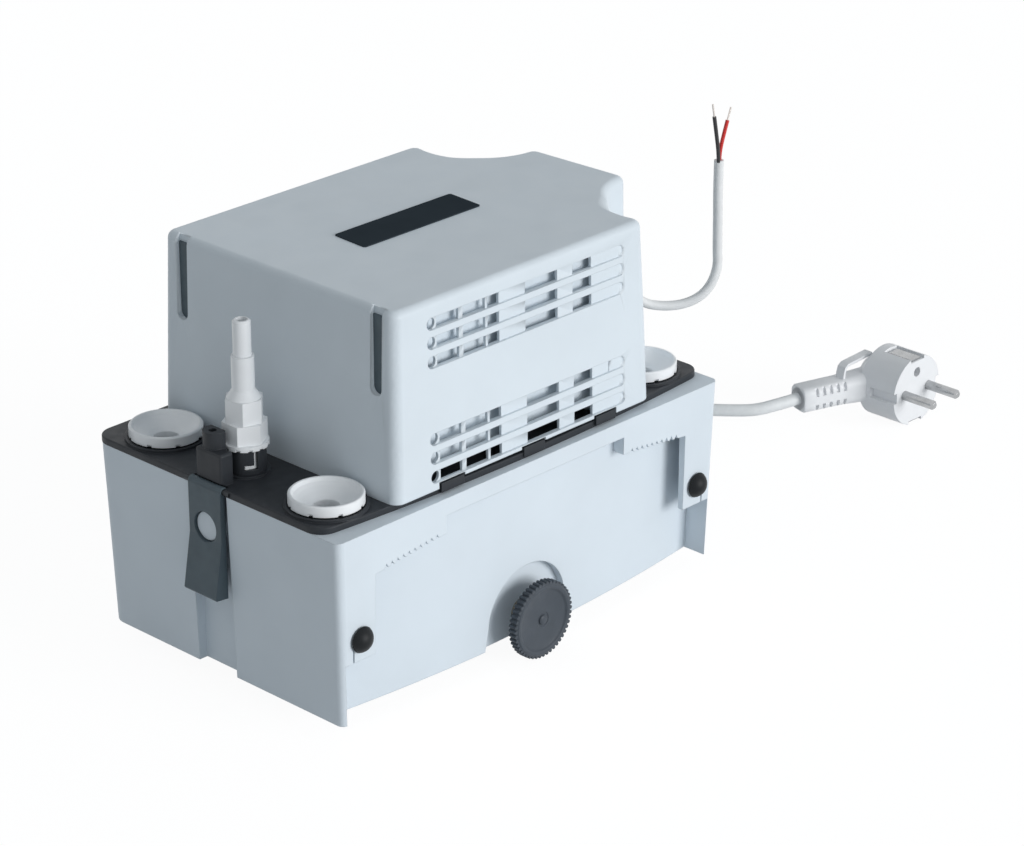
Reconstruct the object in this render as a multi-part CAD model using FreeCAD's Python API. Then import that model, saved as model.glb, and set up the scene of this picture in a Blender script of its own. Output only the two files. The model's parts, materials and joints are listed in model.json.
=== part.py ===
import FreeCAD, Part
import math
import os

os.makedirs("parts", exist_ok=True)
V = FreeCAD.Vector

# Millimetres. X runs along the tank, -Y is the side that hangs on a wall, Z is up.
# The origin is under the middle of the pump, level with the lowest point of the levelling wheel.

# levelling wheel, which hangs below the tank
wheel_radius = 18.1
wheel_thick = 5.0
wheel_axis_above_base = 10.1
wheel_knurls = 40
wheel_knurl_radius = 0.9
wheel_dish_radius = 14.2
wheel_dish_depth = 0.8
wheel_hub_radius = 3.6
spindle_radius = 4.0
spindle_length = 16.0
insert_wall = 2.0
insert_length = 12.5

# tank
tank_length = 237.0
tank_width = 153.0
tank_height = 86.2
tank_wall = 2.5
tank_floor = 3.0
tank_draft_x = 2.65
tank_draft_y = 1.8
tank_corner_back = 9.0
tank_corner_front = 3.5
bow_middle = 4.5
bow_end = 12.2
rim_drop = 8.0
rim_thick = 2.5
plate_thick = 4.0
plate_width = 21.5
plate_foot = 28.4
channel_width = 24.0
channel_depth = 7.0

# wall hangers with their saw-tooth rails
rail_inner_x = 55.4
rail_slope_rise = 4.4
rail_end_drop = 20.8
rail_web = 2.0
tooth_count = 10
tooth_pitch = 3.3
tooth_depth = 2.0
tooth_first_x = 61.0

# rubber wall buffers
buffer_x = 105.5
buffer_rise = 38.5
buffer_radius = 5.9
buffer_height = 4.0
buffer_stem_radius = 2.4
buffer_slit = 0.8

# wheel arch
arch_radius = 24.0
arch_depth = 5.6
arch_flare = 2.0

# lid
lid_thick = 3.0
hole_reach = 14.0
lid_corner = 8.5
lid_bow = 6.0
lid_rib_depth = 4.0
lid_rib_wall = 1.8
lid_clearance = 0.4
seal_width = 1.2
seal_depth = 1.2
middle_y = 2.75
end_y = 5.0

# condensate inlets
inlet_left_x = -99.0
inlet_right_x = 96.0
inlet_spacing = 50.3
inlet_rim_radius = 16.2
inlet_rim_height = 4.7
inlet_rim_gap = 1.6
inlet_wall = 1.3
inlet_neck_radius = 12.2
inlet_neck_length = 9.0
inlet_bore_radius = 5.6
inlet_notches = 8
inlet_collar_radius = 18.0
inlet_collar_wall = 1.4
inlet_collar_height = 1.2

# discharge adapter with its check valve
outlet_x = -98.2
collar_radius = 8.9
collar_height = 12.0
collar_base_radius = 10.6
collar_base_height = 1.0
sleeve_radius = 7.25
sleeve_drop = 8.0
slot_width = 1.9
slot_azimuth = -102.0
slot_turn = 34.0
slot_rise = 3.3
slot_height = 2.2
lug_reach = 1.0
lug_span = 11.0
lug_gap = 0.15
flange_radius = 10.3
hexagon_split = 112.5
hexagon_low_radius = 9.9
hexagon_low_turn = 208.7
hexagon_high_radius = 8.8
hexagon_high_turn = 223.7
hexagon_high_height = 10.5
neck_radius = 4.95
neck_height = 15.2
spigot_radius = 3.95
spigot_bore = 2.6
spigot_length = 16.0
ball_radius = 3.4
chamber_radius = 4.1
chamber_height = 16.0

# cover
cover_height = 84.7
cover_x0 = -80.9
cover_x1 = 108.1
cover_half_width = 73.05
cover_wall = 2.5
cover_draft = 2.3
cover_corner = 5.0
cover_edge = 3.6
cover_gap = 0.3
scoop_x = 103.5
scoop_spacing = 58.5
scoop_radius = 28.2
groove_half_spacing = 59.8
groove_width = 6.8
groove_depth = 3.4
groove_length = 38.4
louvre_left = -60.0
louvre_right = 60.6
louvre_height = 5.5
louvre_pitch = 8.5
louvre_recess = 1.1
louvre_upper_rise = 74.4
louvre_lower_rise = 23.0
louvre_rows = 3
louvre_windows = [(-53.5, -40.6), (-38.0, -24.8), (-23.4, -16.6), (-0.6, 19.2), (28.8, 40.4)]
louvre_end_window = -56.2
foot_gap = 1.6
foot_notches = [(-55.5, -40.0), (-5.4, 9.4), (40.2, 54.6)]
foot_notch_height = 2.9
boss_radius = 4.0
boss_height = 26.0
screw_radius = 1.6
screw_head = 2.2
screw_spots = [(-66.0, -57.5), (-66.0, 63.5), (52.0, -57.5), (52.0, 63.5)]

# blank plate on the cover
plate_x = 1.9
plate_y = 4.9
plate_length = 70.5
plate_depth = 20.0
plate_skew = 1.2
plate_rise = 0.5

# clips, their towers and the stub behind the left one
clip_width = 20.0
clip_thick = 3.0
clip_proud = 1.8
clip_flare = 4.3
clip_drop = 49.2
clip_window_radius = 6.9
clip_window_drop = 18.6
clip_boss_gap = 0.5
clip_barrel = 2.1
clip_side_gap = 0.4
pin_inset = 0.4
pin_radius = 1.2
pin_reach = 4.0
tower_width = 16.0
tower_height = 14.3
tower_depth = 8.0
stub_inset = 6.7
stub_y = 6.75
stub_radius = 5.05
stub_flat = 2.4
stub_bore = 1.9
stub_height = 21.8

# motor
motor_x = -18.0
stator_size = 62.0
stator_height = 26.0
stator_lift = 24.0
rotor_radius = 16.0
air_gap = 0.5
coil_height = 8.0
coil_inner = 17.5
coil_outer = 25.0
coil_gap = 0.5
slot_count = 12
shaft_radius = 3.0
running_gap = 0.05
bearing_radius = 8.0
bearing_height = 6.0
bracket_thick = 3.0
bracket_post = 4.0
bolt_radius = 1.6
bolt_inset = 5.0
fan_radius = 26.0
fan_height = 7.0
fan_blades = 7

# pump under the lid
column_radius = 13.0
column_wall = 2.0
volute_height = 20.0
volute_wall = 2.4
volute_feet = 5.0
volute_eye = 8.0
volute_gap = 2.6
volute_growth = 3.6
outlet_offset = 17.0
impeller_radius = 18.0
impeller_blades = 6
impeller_height = 9.0
riser_radius = 5.0
riser_wall = 1.4

# float and switches
float_x = 62.0
float_size = (38.0, 46.0, 24.0)
float_clear = 4.0
float_travel = 20.0
rod_radius = 2.0
guide_radius = 4.5
cam_slope = 0.05
cam_width = 5.0
cam_face = 2.6
contact_gap = 0.25
pump_switch_z = 124.0
alarm_switch_z = 146.0
switch_size = (16.0, 8.0, 18.0)
plunger_radius = 1.2
plunger_free = 3.0

# electrics
board_x = 34.0
board_size = (26.0, 44.0, 1.6)
board_lift = 7.0
terminal_x = 97.0
terminal_size = (12.0, 36.0, 12.0)
mains_radius = 3.1
alarm_radius = 2.25
core_radius = 0.85
tip_radius = 0.45
tip_length = 6.2
cord_gap = 0.1
coil_x = 60.0
coil_y = 129.0
coil_radius = 35.5
coil_turns_wide = 3
coil_turns_high = 2
mains_route = [
    (130, 20, 118.5), (142.7, 20, 118.5), (154.6, 20.5, 114.1), (164.1, 21.7, 105.9), (170.3, 23.7, 95),
    (172.4, 25.3, 82.6), (172.9, 26.2, 63.6), (173.4, 27.9, 49.6), (174.1, 31.9, 36.1), (174.3, 39.3, 23.9),
    (173.1, 49.6, 14.2), (169.6, 61, 7.6), (162.2, 71.8, 4), (150.5, 81.4, 3.2), (132.1, 88.5, 3.2),
    (107.9, 90.6, 3.2), (79.4, 87.2, 3.2), (60, 87.2, 3.2)]
lead_route = [
    (60, 170.8, 9.5), (75.5, 170.8, 9.5), (90.6, 168.3, 8), (104.1, 164.6, 6.2), (117.2, 159.6, 4.6),
    (131.1, 152.1, 3.3), (144.4, 142.5, 3.2), (157.4, 129.9, 3.2), (169.1, 114.5, 3.2), (179.9, 96.7, 4.5),
    (190.8, 75.7, 7.8), (202.3, 54.4, 12.2), (214.3, 36.2, 15.5), (225.4, 22.3, 16.5), (233.2, 13.2, 16.4),
    (241.8, 4.8, 16.3), (252.4, -0.5, 17.7), (263.8, -4.2, 18.5)]
alarm_route = [
    (122, -14, 117), (130.2, -14, 117), (138, -15.1, 113), (143.4, -19.8, 108.1), (150.4, -24.4, 107),
    (156.8, -28.7, 109.4), (162.3, -31.6, 114.7), (165.7, -32, 122), (166.8, -31.1, 130.2),
    (166.9, -30.7, 139.9), (166.5, -31, 150.7), (166, -31, 162.3), (166, -31, 173.9)]
black_route = [(165.2, -31.7, 173.9), (165.1, -31.7, 180.5), (163.8, -31.4, 189), (162.4, -31, 198)]
red_route = [(167.2, -30.4, 173.9), (167.6, -30.4, 180), (169.6, -30.6, 187), (172, -30.8, 194)]
mains_gland = {"flange": 7.6, "hole": 5.5, "tail": 1.0}
alarm_gland = {"flange": 5.2, "hole": 3.8, "tail": 0.8}

# mains plug
plug_x = 313.3
plug_z = 18.4
plug_face_y = -40.0
plug_radius = 18.3
plug_depth = 22.0
plug_tail = 7.0
plug_pin_radius = 2.4
plug_pin_length = 19.0
plug_pin_spacing = 19.0
earth_hole_rise = 9.8
handle_turn = 162.0
handle_length = 46.0
handle_radii = (5.7, 7.4)

# levels and places that follow from the sizes above
base_z = wheel_radius - wheel_axis_above_base
floor_z = base_z + tank_floor
tank_top = base_z + tank_height
lid_top = tank_top + lid_thick
cover_top = lid_top + cover_height
half_length = tank_length / 2
back_y = (tank_width + 4.0) / 2
wall_y = back_y - tank_width
arch_y = wall_y + bow_middle + arch_depth
cover_y0 = middle_y - cover_half_width
cover_y1 = middle_y + cover_half_width
pin_x = half_length - pin_inset
pin_z = tank_top + lid_thick / 2
clip_y0 = end_y - clip_width / 2
collar_bore = sleeve_radius + 2 * running_gap
slot_z = lid_top + slot_rise
hexagon_z = base_z + hexagon_split
seat_z = lid_top + 9.5
stator_z = lid_top + stator_lift
stator_top = stator_z + stator_height
lower_bracket_z = stator_z - coil_height - coil_gap - bracket_thick
upper_bracket_z = stator_top + coil_height + coil_gap
fan_z = upper_bracket_z + bracket_thick + 1.5
volute_z = floor_z + volute_feet
chamber_z = volute_z + volute_wall
volute_top = chamber_z + volute_height
outlet_z = chamber_z + 8.0
impeller_z = chamber_z + 3.5
float_z = floor_z + float_clear
cam_top = alarm_switch_z + 3.0
board_z = lid_top + board_lift
inlets = {}
for side, place in (("left", inlet_left_x), ("right", inlet_right_x)):
    inlets[side + "_back"] = (place, middle_y + inlet_spacing)
    inlets[side + "_front"] = (place, middle_y - inlet_spacing)


def box(x0, x1, y0, y1, z0, z1):
    return Part.makeBox(x1 - x0, y1 - y0, z1 - z0, V(x0, y0, z0))


def rod(x, y, z, radius, length, axis=V(0, 0, 1)):
    return Part.makeCylinder(radius, length, V(x, y, z), axis)


def ring(x, y, z, outer, inner, height):
    return rod(x, y, z, outer, height).cut(rod(x, y, z - 1, inner, height + 2))


def prism(points, direction):
    corners = [V(*p) for p in points]
    return Part.Face(Part.makePolygon(corners + corners[:1])).extrude(V(*direction))


def turned(profile, x, y, z, axis=V(0, 0, 1)):
    """Revolve (radius, distance along the axis) pairs about an axis through x, y, z."""
    if axis.x:
        points = [V(x + h, y, z + r) for r, h in profile]
    else:
        points = [V(x + r, y, z + h) for r, h in profile]
    return Part.Face(Part.makePolygon(points + points[:1])).revolve(V(x, y, z), axis, 360)


def hexagon(x, y, z0, z1, radius, turn):
    corners = []
    for i in range(6):
        a = math.radians(turn + 60 * i)
        corners.append((x + radius * math.cos(a), y + radius * math.sin(a), z0))
    return prism(corners, (0, 0, z1 - z0))


def join(first, *others):
    return first.fuse(list(others)).removeSplitter()


def mirror_x(shape):
    return shape.mirror(V(0, 0, 0), V(1, 0, 0))


def lofted(lower, upper):
    return Part.makeLoft([lower, upper], True, True)


def placed(shape, turn, x, y, z=0.0):
    shape.rotate(V(0, 0, 0), V(0, 0, 1), turn)
    shape.translate(V(x, y, z))
    return shape


def soften(shape, radius, chosen):
    edges = [e for e in shape.Edges if chosen(e)]
    return shape.makeFillet(radius, edges) if edges else shape


def upright(edge):
    ends = [v.Point.z for v in edge.Vertexes]
    return len(ends) == 2 and abs(ends[0] - ends[1]) > 0.9 * edge.Length


def level_at(z):
    return lambda edge: all(abs(v.Z - z) < 0.01 for v in edge.Vertexes)


def rounded_wire(x0, x1, y0, y1, z, front, back):
    """Plan outline with one radius on the wall side and another at the back."""
    spots = [(x1, y0, front, V(-1, 0, 0), V(0, 1, 0)), (x1, y1, back, V(0, -1, 0), V(-1, 0, 0)),
             (x0, y1, back, V(1, 0, 0), V(0, -1, 0)), (x0, y0, front, V(0, 1, 0), V(1, 0, 0))]
    arcs = []
    for x, y, r, into, out in spots:
        corner = V(x, y, z)
        middle = corner + (into + out) * (r * (1 - math.sqrt(0.5)))
        arcs.append((corner + into * r, middle, corner + out * r))
    edges = []
    for i, (a, middle, b) in enumerate(arcs):
        edges.append(Part.Arc(a, middle, b).toShape())
        edges.append(Part.LineSegment(b, arcs[(i + 1) % 4][0]).toShape())
    return Part.Wire(edges)


def bowed_wire(x_half, y_middle, y_end, y_other, z):
    """Outline with one long side that bulges towards the wall in the middle."""
    a = V(-x_half, y_end, z)
    b = V(x_half, y_end, z)
    c = V(x_half, y_other, z)
    d = V(-x_half, y_other, z)
    edges = [Part.Arc(a, V(0, y_middle, z), b).toShape()]
    for p, q in ((b, c), (c, d), (d, a)):
        edges.append(Part.LineSegment(p, q).toShape())
    return Part.Wire(edges)


def inset_at(z):
    share = (tank_top - z) / tank_height
    return tank_draft_x * share, tank_draft_y * share


def tank_outline(z):
    dx, dy = inset_at(z)
    return rounded_wire(-half_length + dx, half_length - dx, wall_y + dy, back_y - dy, z,
                        tank_corner_front, tank_corner_back)


def hollow_outline(z, inset=0.0):
    dx, dy = inset_at(z)
    grow = tank_wall + inset
    return bowed_wire(half_length - dx - grow, wall_y + bow_middle + dy + grow,
                      wall_y + bow_end + dy + grow, back_y - dy - grow, z)


def front_outline(z):
    dx, dy = inset_at(z)
    return bowed_wire(half_length - dx - tank_wall, wall_y + bow_middle + dy, wall_y + bow_end + dy,
                      wall_y - 20, z)


def channels(grow, z0, z1):
    cut = box(half_length - channel_depth - grow, half_length + 5, end_y - channel_width / 2 - grow,
              end_y + channel_width / 2 + grow, z0, z1)
    return [cut, mirror_x(cut)]


def arch(radius, y0, y1):
    flare = radius + arch_flare
    disc = rod(0, y0, wheel_radius, radius, y1 - y0, V(0, 1, 0))
    foot = [(-flare, y0, base_z - 1), (flare, y0, base_z - 1), (radius, y0, wheel_radius),
            (-radius, y0, wheel_radius)]
    return join(disc, prism(foot, (0, y1 - y0, 0)))


def make_hanger():
    """Buffer plate and sloping saw-tooth rail at the +X end, standing off the bowed wall."""
    inner = half_length - plate_width
    top = tank_top - rim_drop + 1
    low = tank_top - rail_end_drop
    high = low + rail_slope_rise
    slope = rail_slope_rise / (inner - rail_inner_x)
    half_tooth = tooth_pitch * 0.36
    points = [(inner + 1, wall_y, top), (rail_inner_x, wall_y, top), (rail_inner_x, wall_y, high)]
    for i in range(tooth_count):
        x = tooth_first_x + i * tooth_pitch
        z = high - slope * (x - rail_inner_x)
        points.append((x - half_tooth, wall_y, z + slope * half_tooth))
        points.append((x, wall_y, z + tooth_depth))
        points.append((x + half_tooth, wall_y, z - slope * half_tooth))
    points.append((inner + 1, wall_y, low))
    rail = prism(points, (0, plate_thick, 0))
    plate = box(inner, half_length - 1, wall_y, wall_y + plate_thick, base_z + plate_foot, top)
    web = box(rail_inner_x, rail_inner_x + rail_web, wall_y, wall_y + bow_end - 2, high, top)
    body = join(rail, plate, web)
    z = base_z + buffer_rise
    slit = buffer_x + buffer_stem_radius + 1.3
    body = body.cut(rod(buffer_x, wall_y - 1, z, buffer_stem_radius, plate_thick + 2, V(0, 1, 0)))
    return body.cut(box(slit, slit + buffer_slit, wall_y - 1, wall_y + plate_thick + 1, base_z, z))


def make_tank():
    outside = lofted(tank_outline(base_z), tank_outline(tank_top))
    body = outside.cut(lofted(front_outline(base_z - 1), front_outline(tank_top - rim_thick)))
    band = box(-half_length, half_length, wall_y, wall_y + rim_thick, tank_top - rim_drop, tank_top)
    hanger = make_hanger()
    body = join(body, band.common(outside), hanger.common(outside), mirror_x(hanger).common(outside))
    hollow = lofted(hollow_outline(floor_z), hollow_outline(tank_top + 1))
    for cut in channels(tank_wall, base_z, tank_top + 2):
        hollow = hollow.cut(cut)
    hollow = hollow.cut(arch(arch_radius + tank_wall, wall_y, arch_y + tank_wall))
    hollow = hollow.cut(rod(0, arch_y, wheel_radius, spindle_radius + insert_wall + 2.5, insert_length + 2.5,
                            V(0, 1, 0)))
    body = body.cut(hollow).cut(arch(arch_radius, wall_y - 2, arch_y))
    for cut in channels(0.0, base_z - 1, tank_top + 1):
        body = body.cut(cut)
    socket = rod(0, arch_y - 1, wheel_radius, spindle_radius + insert_wall, insert_length + 1, V(0, 1, 0))
    body = body.cut(socket)
    boss = rod(half_length - channel_depth - 0.1, end_y, pin_z - clip_window_drop,
               clip_window_radius - clip_boss_gap, channel_depth + 0.6, V(1, 0, 0))
    return join(body, boss, mirror_x(boss))


def make_buffer():
    z = base_z + buffer_rise
    sphere = (buffer_radius ** 2 + buffer_height ** 2) / (2 * buffer_height)
    dome = Part.makeSphere(sphere, V(buffer_x, wall_y - buffer_height + sphere, z))
    dome = dome.common(box(buffer_x - 20, buffer_x + 20, wall_y - 20, wall_y, z - 20, z + 20))
    stem = rod(buffer_x, wall_y, z, buffer_stem_radius, plate_thick, V(0, 1, 0))
    head = rod(buffer_x, wall_y + plate_thick, z, buffer_stem_radius + 1.0, 1.2, V(0, 1, 0))
    return join(dome, stem, head)


def rib_solid(inset, z0, z1):
    shape = Part.Face(hollow_outline(z0, inset)).extrude(V(0, 0, z1 - z0))
    for cut in channels(tank_wall + inset, z0 - 1, z1 + 1):
        shape = shape.cut(cut)
    return shape


def seal_solid(outer):
    z = tank_top - lid_rib_depth + 1.2
    return rib_solid(outer, z, z + seal_depth).cut(rib_solid(lid_clearance + seal_width, z - 1, z + 5))


def inlet_reliefs():
    return [rod(x, y, floor_z, inlet_neck_radius + 1.6, tank_top - floor_z) for x, y in inlets.values()]


def make_seal():
    seal = seal_solid(0.1)
    for cut in inlet_reliefs():
        seal = seal.cut(cut)
    return seal


def bolt_spots():
    reach = stator_size / 2 - bolt_inset
    return [(motor_x + i * reach, middle_y + j * reach) for i in (-1, 1) for j in (-1, 1)]


def board_spots():
    x, y = board_size[0] / 2 - 3, board_size[1] / 2 - 3
    return [(board_x + i * x, middle_y + j * y) for i in (-1, 1) for j in (-1, 1)]


def lid_additions():
    parts = []
    foot = Part.Face(cover_wire(-cover_gap, lid_top)).extrude(V(0, 0, 2 * inlet_collar_height))
    for x, y in inlets.values():
        collar = ring(x, y, tank_top + 1, inlet_collar_radius, inlet_collar_radius - inlet_collar_wall,
                      lid_thick - 1 + inlet_collar_height)
        collar = collar.common(box(-half_length, half_length, wall_y + 9, back_y, 0, 200))
        parts.append(collar.cut(foot))
    parts.append(rod(outlet_x, middle_y, tank_top, collar_base_radius, lid_thick + collar_base_height))
    top = lid_top + tower_height
    y0 = end_y - tower_width / 2 - 0.5
    tower = box(half_length - tower_depth, half_length - 0.8, y0, y0 + tower_width, tank_top + 1, top)
    tower = soften(tower, 1.2, lambda edge: upright(edge) or level_at(top)(edge))
    x = -half_length + stub_inset
    stub = rod(x, stub_y, tank_top + 1, stub_radius, lid_thick - 1 + stub_height)
    stub = stub.cut(box(x + stub_flat, x + 9, stub_y - 9, stub_y + 9, tank_top, lid_top + 60))
    stub = stub.cut(rod(x - 1, stub_y, lid_top + stub_height - 12, stub_bore, 20))
    parts += [tower, mirror_x(tower), stub]
    for x0, x1 in foot_notches:
        parts.append(box(x0 + 1, x1 - 1, cover_y0 - 0.4, cover_y0 + 5, tank_top + 1, lid_top + 2.3))
    for x, y in bolt_spots():
        parts.append(rod(x, y, tank_top - 6, bracket_post, 7))
    for x, y in board_spots():
        parts.append(rod(x, y, tank_top + 1, 2.4, lid_thick - 1 + board_lift))
    low = float_z + float_size[2] + float_travel + 2
    parts.append(rod(float_x, middle_y, low, guide_radius, tank_top + 1 - low))
    return parts


def lid_holes():
    reach = tank_height + hole_reach
    cuts = [rod(x, y, floor_z, inlet_neck_radius + running_gap, reach) for x, y in inlets.values()]
    cuts.append(rod(outlet_x, middle_y, floor_z, collar_bore, reach))
    cuts.append(rod(motor_x, middle_y, floor_z, bearing_radius, reach))
    cuts.append(rod(float_x, middle_y, floor_z, rod_radius + running_gap, reach))
    for x, y in screw_spots:
        cuts.append(rod(x, y, floor_z, screw_radius, reach))
    for x, y in bolt_spots():
        cuts.append(rod(x, y, tank_top - 4, bolt_radius, 20))
    for x, y in board_spots():
        cuts.append(rod(x, y, lid_top + 1, 1.0, 20))
    gap_y0, gap = clip_y0 - clip_side_gap, clip_width + 2 * clip_side_gap
    notch = box(pin_x - clip_barrel - 0.7, half_length + 5, gap_y0, gap_y0 + gap, tank_top - 5, lid_top)
    sweep = rod(pin_x, gap_y0, pin_z, clip_barrel + 0.6, gap, V(0, 1, 0))
    bore = rod(pin_x, clip_y0 - pin_reach, pin_z, pin_radius, clip_width + 2 * pin_reach, V(0, 1, 0))
    for cut in (notch, sweep, bore):
        cuts += [cut, mirror_x(cut)]
    return cuts


def make_lid():
    outline = bowed_wire(half_length, wall_y + bow_middle, wall_y + bow_middle + lid_bow, back_y, tank_top)
    plate = soften(Part.Face(outline).extrude(V(0, 0, lid_thick)), lid_corner, upright)
    plate = soften(plate, 0.6, level_at(lid_top))
    z = tank_top - lid_rib_depth
    rib = rib_solid(lid_clearance, z, tank_top)
    rib = rib.cut(rib_solid(lid_clearance + lid_rib_wall, z - 1, tank_top + 1)).cut(seal_solid(0.0))
    for cut in inlet_reliefs():
        rib = rib.cut(cut)
    for x, y in screw_spots:
        rib = rib.cut(rod(x, y, z - 1, 4.0, 10))
    body = join(plate, rib, *lid_additions())
    for cut in lid_holes():
        body = body.cut(cut)
    return body


def make_inlet(x, y):
    r = inlet_neck_radius
    under = inlet_rim_gap
    top = under + inlet_rim_height
    rim = inlet_rim_radius
    inner = rim - inlet_wall
    bore = inlet_bore_radius
    profile = [(r, -inlet_neck_length), (r, under), (rim, under), (rim, top - 0.5), (rim - 0.5, top),
               (inner, top)]
    for share in (0.12, 0.3, 0.52, 0.76):
        profile.append((bore + (inner - bore) * (1 - share), top - 5.6 * share ** 0.6))
    profile += [(bore, top - 6.3), (bore, 2 - inlet_neck_length), (r - 1.4, -inlet_neck_length)]
    body = turned(profile, x, y, lid_top)
    for i in range(inlet_notches):
        a = math.radians(22.5 + 360 * i / inlet_notches)
        body = body.cut(rod(x + rim * math.cos(a), y + rim * math.sin(a), lid_top + under - 0.1, 1.1, 1.1))
    return body


def make_inlet_seal(x, y):
    return ring(x, y, lid_top, inlet_neck_radius + 2.2, inlet_neck_radius + 0.1, inlet_rim_gap)


def slot_sector(half, span, gap):
    wedge = Part.makeCylinder(collar_radius + 2, slot_height - 2 * gap, V(0, 0, 0), V(0, 0, 1), span)
    return placed(wedge, slot_azimuth + half - slot_turn + 4 * gap, outlet_x, middle_y, slot_z + gap)


def make_outlet_collar():
    foot = lid_top + collar_base_height
    body = ring(outlet_x, middle_y, foot, collar_radius, collar_bore, lid_top + collar_height - foot)
    for half in (0.0, 180.0):
        leg = box(0, collar_radius + 2, -slot_width / 2, slot_width / 2, slot_z, lid_top + collar_height + 1)
        body = body.cut(placed(leg, slot_azimuth + half, outlet_x, middle_y))
        body = body.cut(slot_sector(half, slot_turn + 6, 0.0))
    return body


def make_adapter():
    x, y = outlet_x, middle_y
    top = lid_top + collar_height + 0.2
    body = rod(x, y, lid_top - sleeve_drop, sleeve_radius, collar_height + sleeve_drop + 1)
    for half in (0.0, 180.0):
        lug = slot_sector(half, lug_span, lug_gap)
        body = body.fuse(lug.common(rod(x, y, slot_z, sleeve_radius + lug_reach, 10)))
    flange = rod(x, y, top, flange_radius, 2.2)
    for i in range(12):
        a = math.radians(30 * i)
        flange = flange.cut(rod(x + flange_radius * math.cos(a), y + flange_radius * math.sin(a), top - 0.1,
                                1.0, 1.0))
    z = hexagon_z + hexagon_high_height
    shoulder = turned([(0, 0), (7.4, 0), (neck_radius, 3.8), (0, 3.8)], x, y, z)
    spigot_z = z + 3.8 + neck_height
    barb = turned([(0, 0), (spigot_radius, 0), (spigot_radius, spigot_length - 0.8),
                   (spigot_radius - 0.8, spigot_length), (0, spigot_length)], x, y, spigot_z)
    body = join(body, flange, hexagon(x, y, top + 2, hexagon_z, hexagon_low_radius, hexagon_low_turn),
                hexagon(x, y, hexagon_z, z, hexagon_high_radius, hexagon_high_turn), shoulder,
                rod(x, y, z + 3.8, neck_radius, neck_height), barb)
    socket = rod(x, y, lid_top - sleeve_drop - 1, riser_radius + running_gap, seat_z - lid_top + sleeve_drop)
    throat = [(0, -2), (spigot_bore, -2), (spigot_bore, 2.2), (chamber_radius, 4.2)]
    throat += [(chamber_radius, chamber_height), (spigot_bore, chamber_height + 2)]
    throat += [(spigot_bore, 70), (0, 70)]
    return body.cut(socket).cut(turned(throat, x, y, seat_z))


def make_ball():
    """Ball a little above the cone it closes."""
    half_angle = math.atan2(chamber_radius - spigot_bore, 2.0)
    apex = seat_z + 2.2 - spigot_bore / math.tan(half_angle)
    centre = apex + (ball_radius + contact_gap) / math.sin(half_angle)
    return Part.makeSphere(ball_radius, V(outlet_x, middle_y, centre))


def cover_wire(inset, z):
    s = inset + cover_draft * (z - lid_top) / cover_height
    r = scoop_radius + s
    x0, x1 = cover_x0 + s, cover_x1 - s
    y0, y1 = cover_y0 + s, cover_y1 - s
    back, front = middle_y + scoop_spacing, middle_y - scoop_spacing
    k = r * math.sqrt(0.5)
    xa = scoop_x - math.sqrt(r * r - (y1 - back) ** 2)
    step = math.sqrt(r * r - (x1 - scoop_x) ** 2)
    a, b = V(xa, y1, z), V(x1, back - step, z)
    c, d = V(x1, front + step, z), V(xa, y0, z)
    e, f = V(x0, y0, z), V(x0, y1, z)
    edges = [Part.Arc(a, V(scoop_x - k, back - k, z), b).toShape(), Part.LineSegment(b, c).toShape(),
             Part.Arc(c, V(scoop_x - k, front + k, z), d).toShape()]
    for p, q in ((d, e), (e, f), (f, a)):
        edges.append(Part.LineSegment(p, q).toShape())
    return Part.Wire(edges)


def louvre_levels():
    return [lid_top + start - i * louvre_pitch for start in (louvre_upper_rise, louvre_lower_rise)
            for i in range(louvre_rows)]


def face_y(z):
    return cover_y0 + cover_draft * (z - lid_top) / cover_height


def louvre_cuts():
    r = louvre_height / 2
    cuts = []
    for z in louvre_levels():
        y = face_y(z)
        y0, y1 = y - 3, y + louvre_recess
        cuts.append(join(box(louvre_left + r, louvre_right - r, y0, y1, z - r, z + r),
                         rod(louvre_left + r, y0, z, r, y1 - y0, V(0, 1, 0)),
                         rod(louvre_right - r, y0, z, r, y1 - y0, V(0, 1, 0))))
        cuts.append(join(box(louvre_left + r, louvre_end_window, y0, y + 6, z - r, z + r),
                         rod(louvre_left + r, y0, z, r, y + 6 - y0, V(0, 1, 0))))
        for x0, x1 in louvre_windows:
            cuts.append(box(x0, x1, y0, y + 6, z - r, z + r))
    return cuts


def foot_cuts():
    x0, x1 = foot_notches[0][0], foot_notches[-1][1]
    cuts = [box(x0, x1, cover_y0 - 3, cover_y0 + 5, lid_top - 1, lid_top + foot_gap)]
    for x0, x1 in foot_notches:
        cuts.append(box(x0, x1, cover_y0 - 3, cover_y0 + 5.2, lid_top - 1, lid_top + foot_notch_height))
    return cuts


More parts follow.
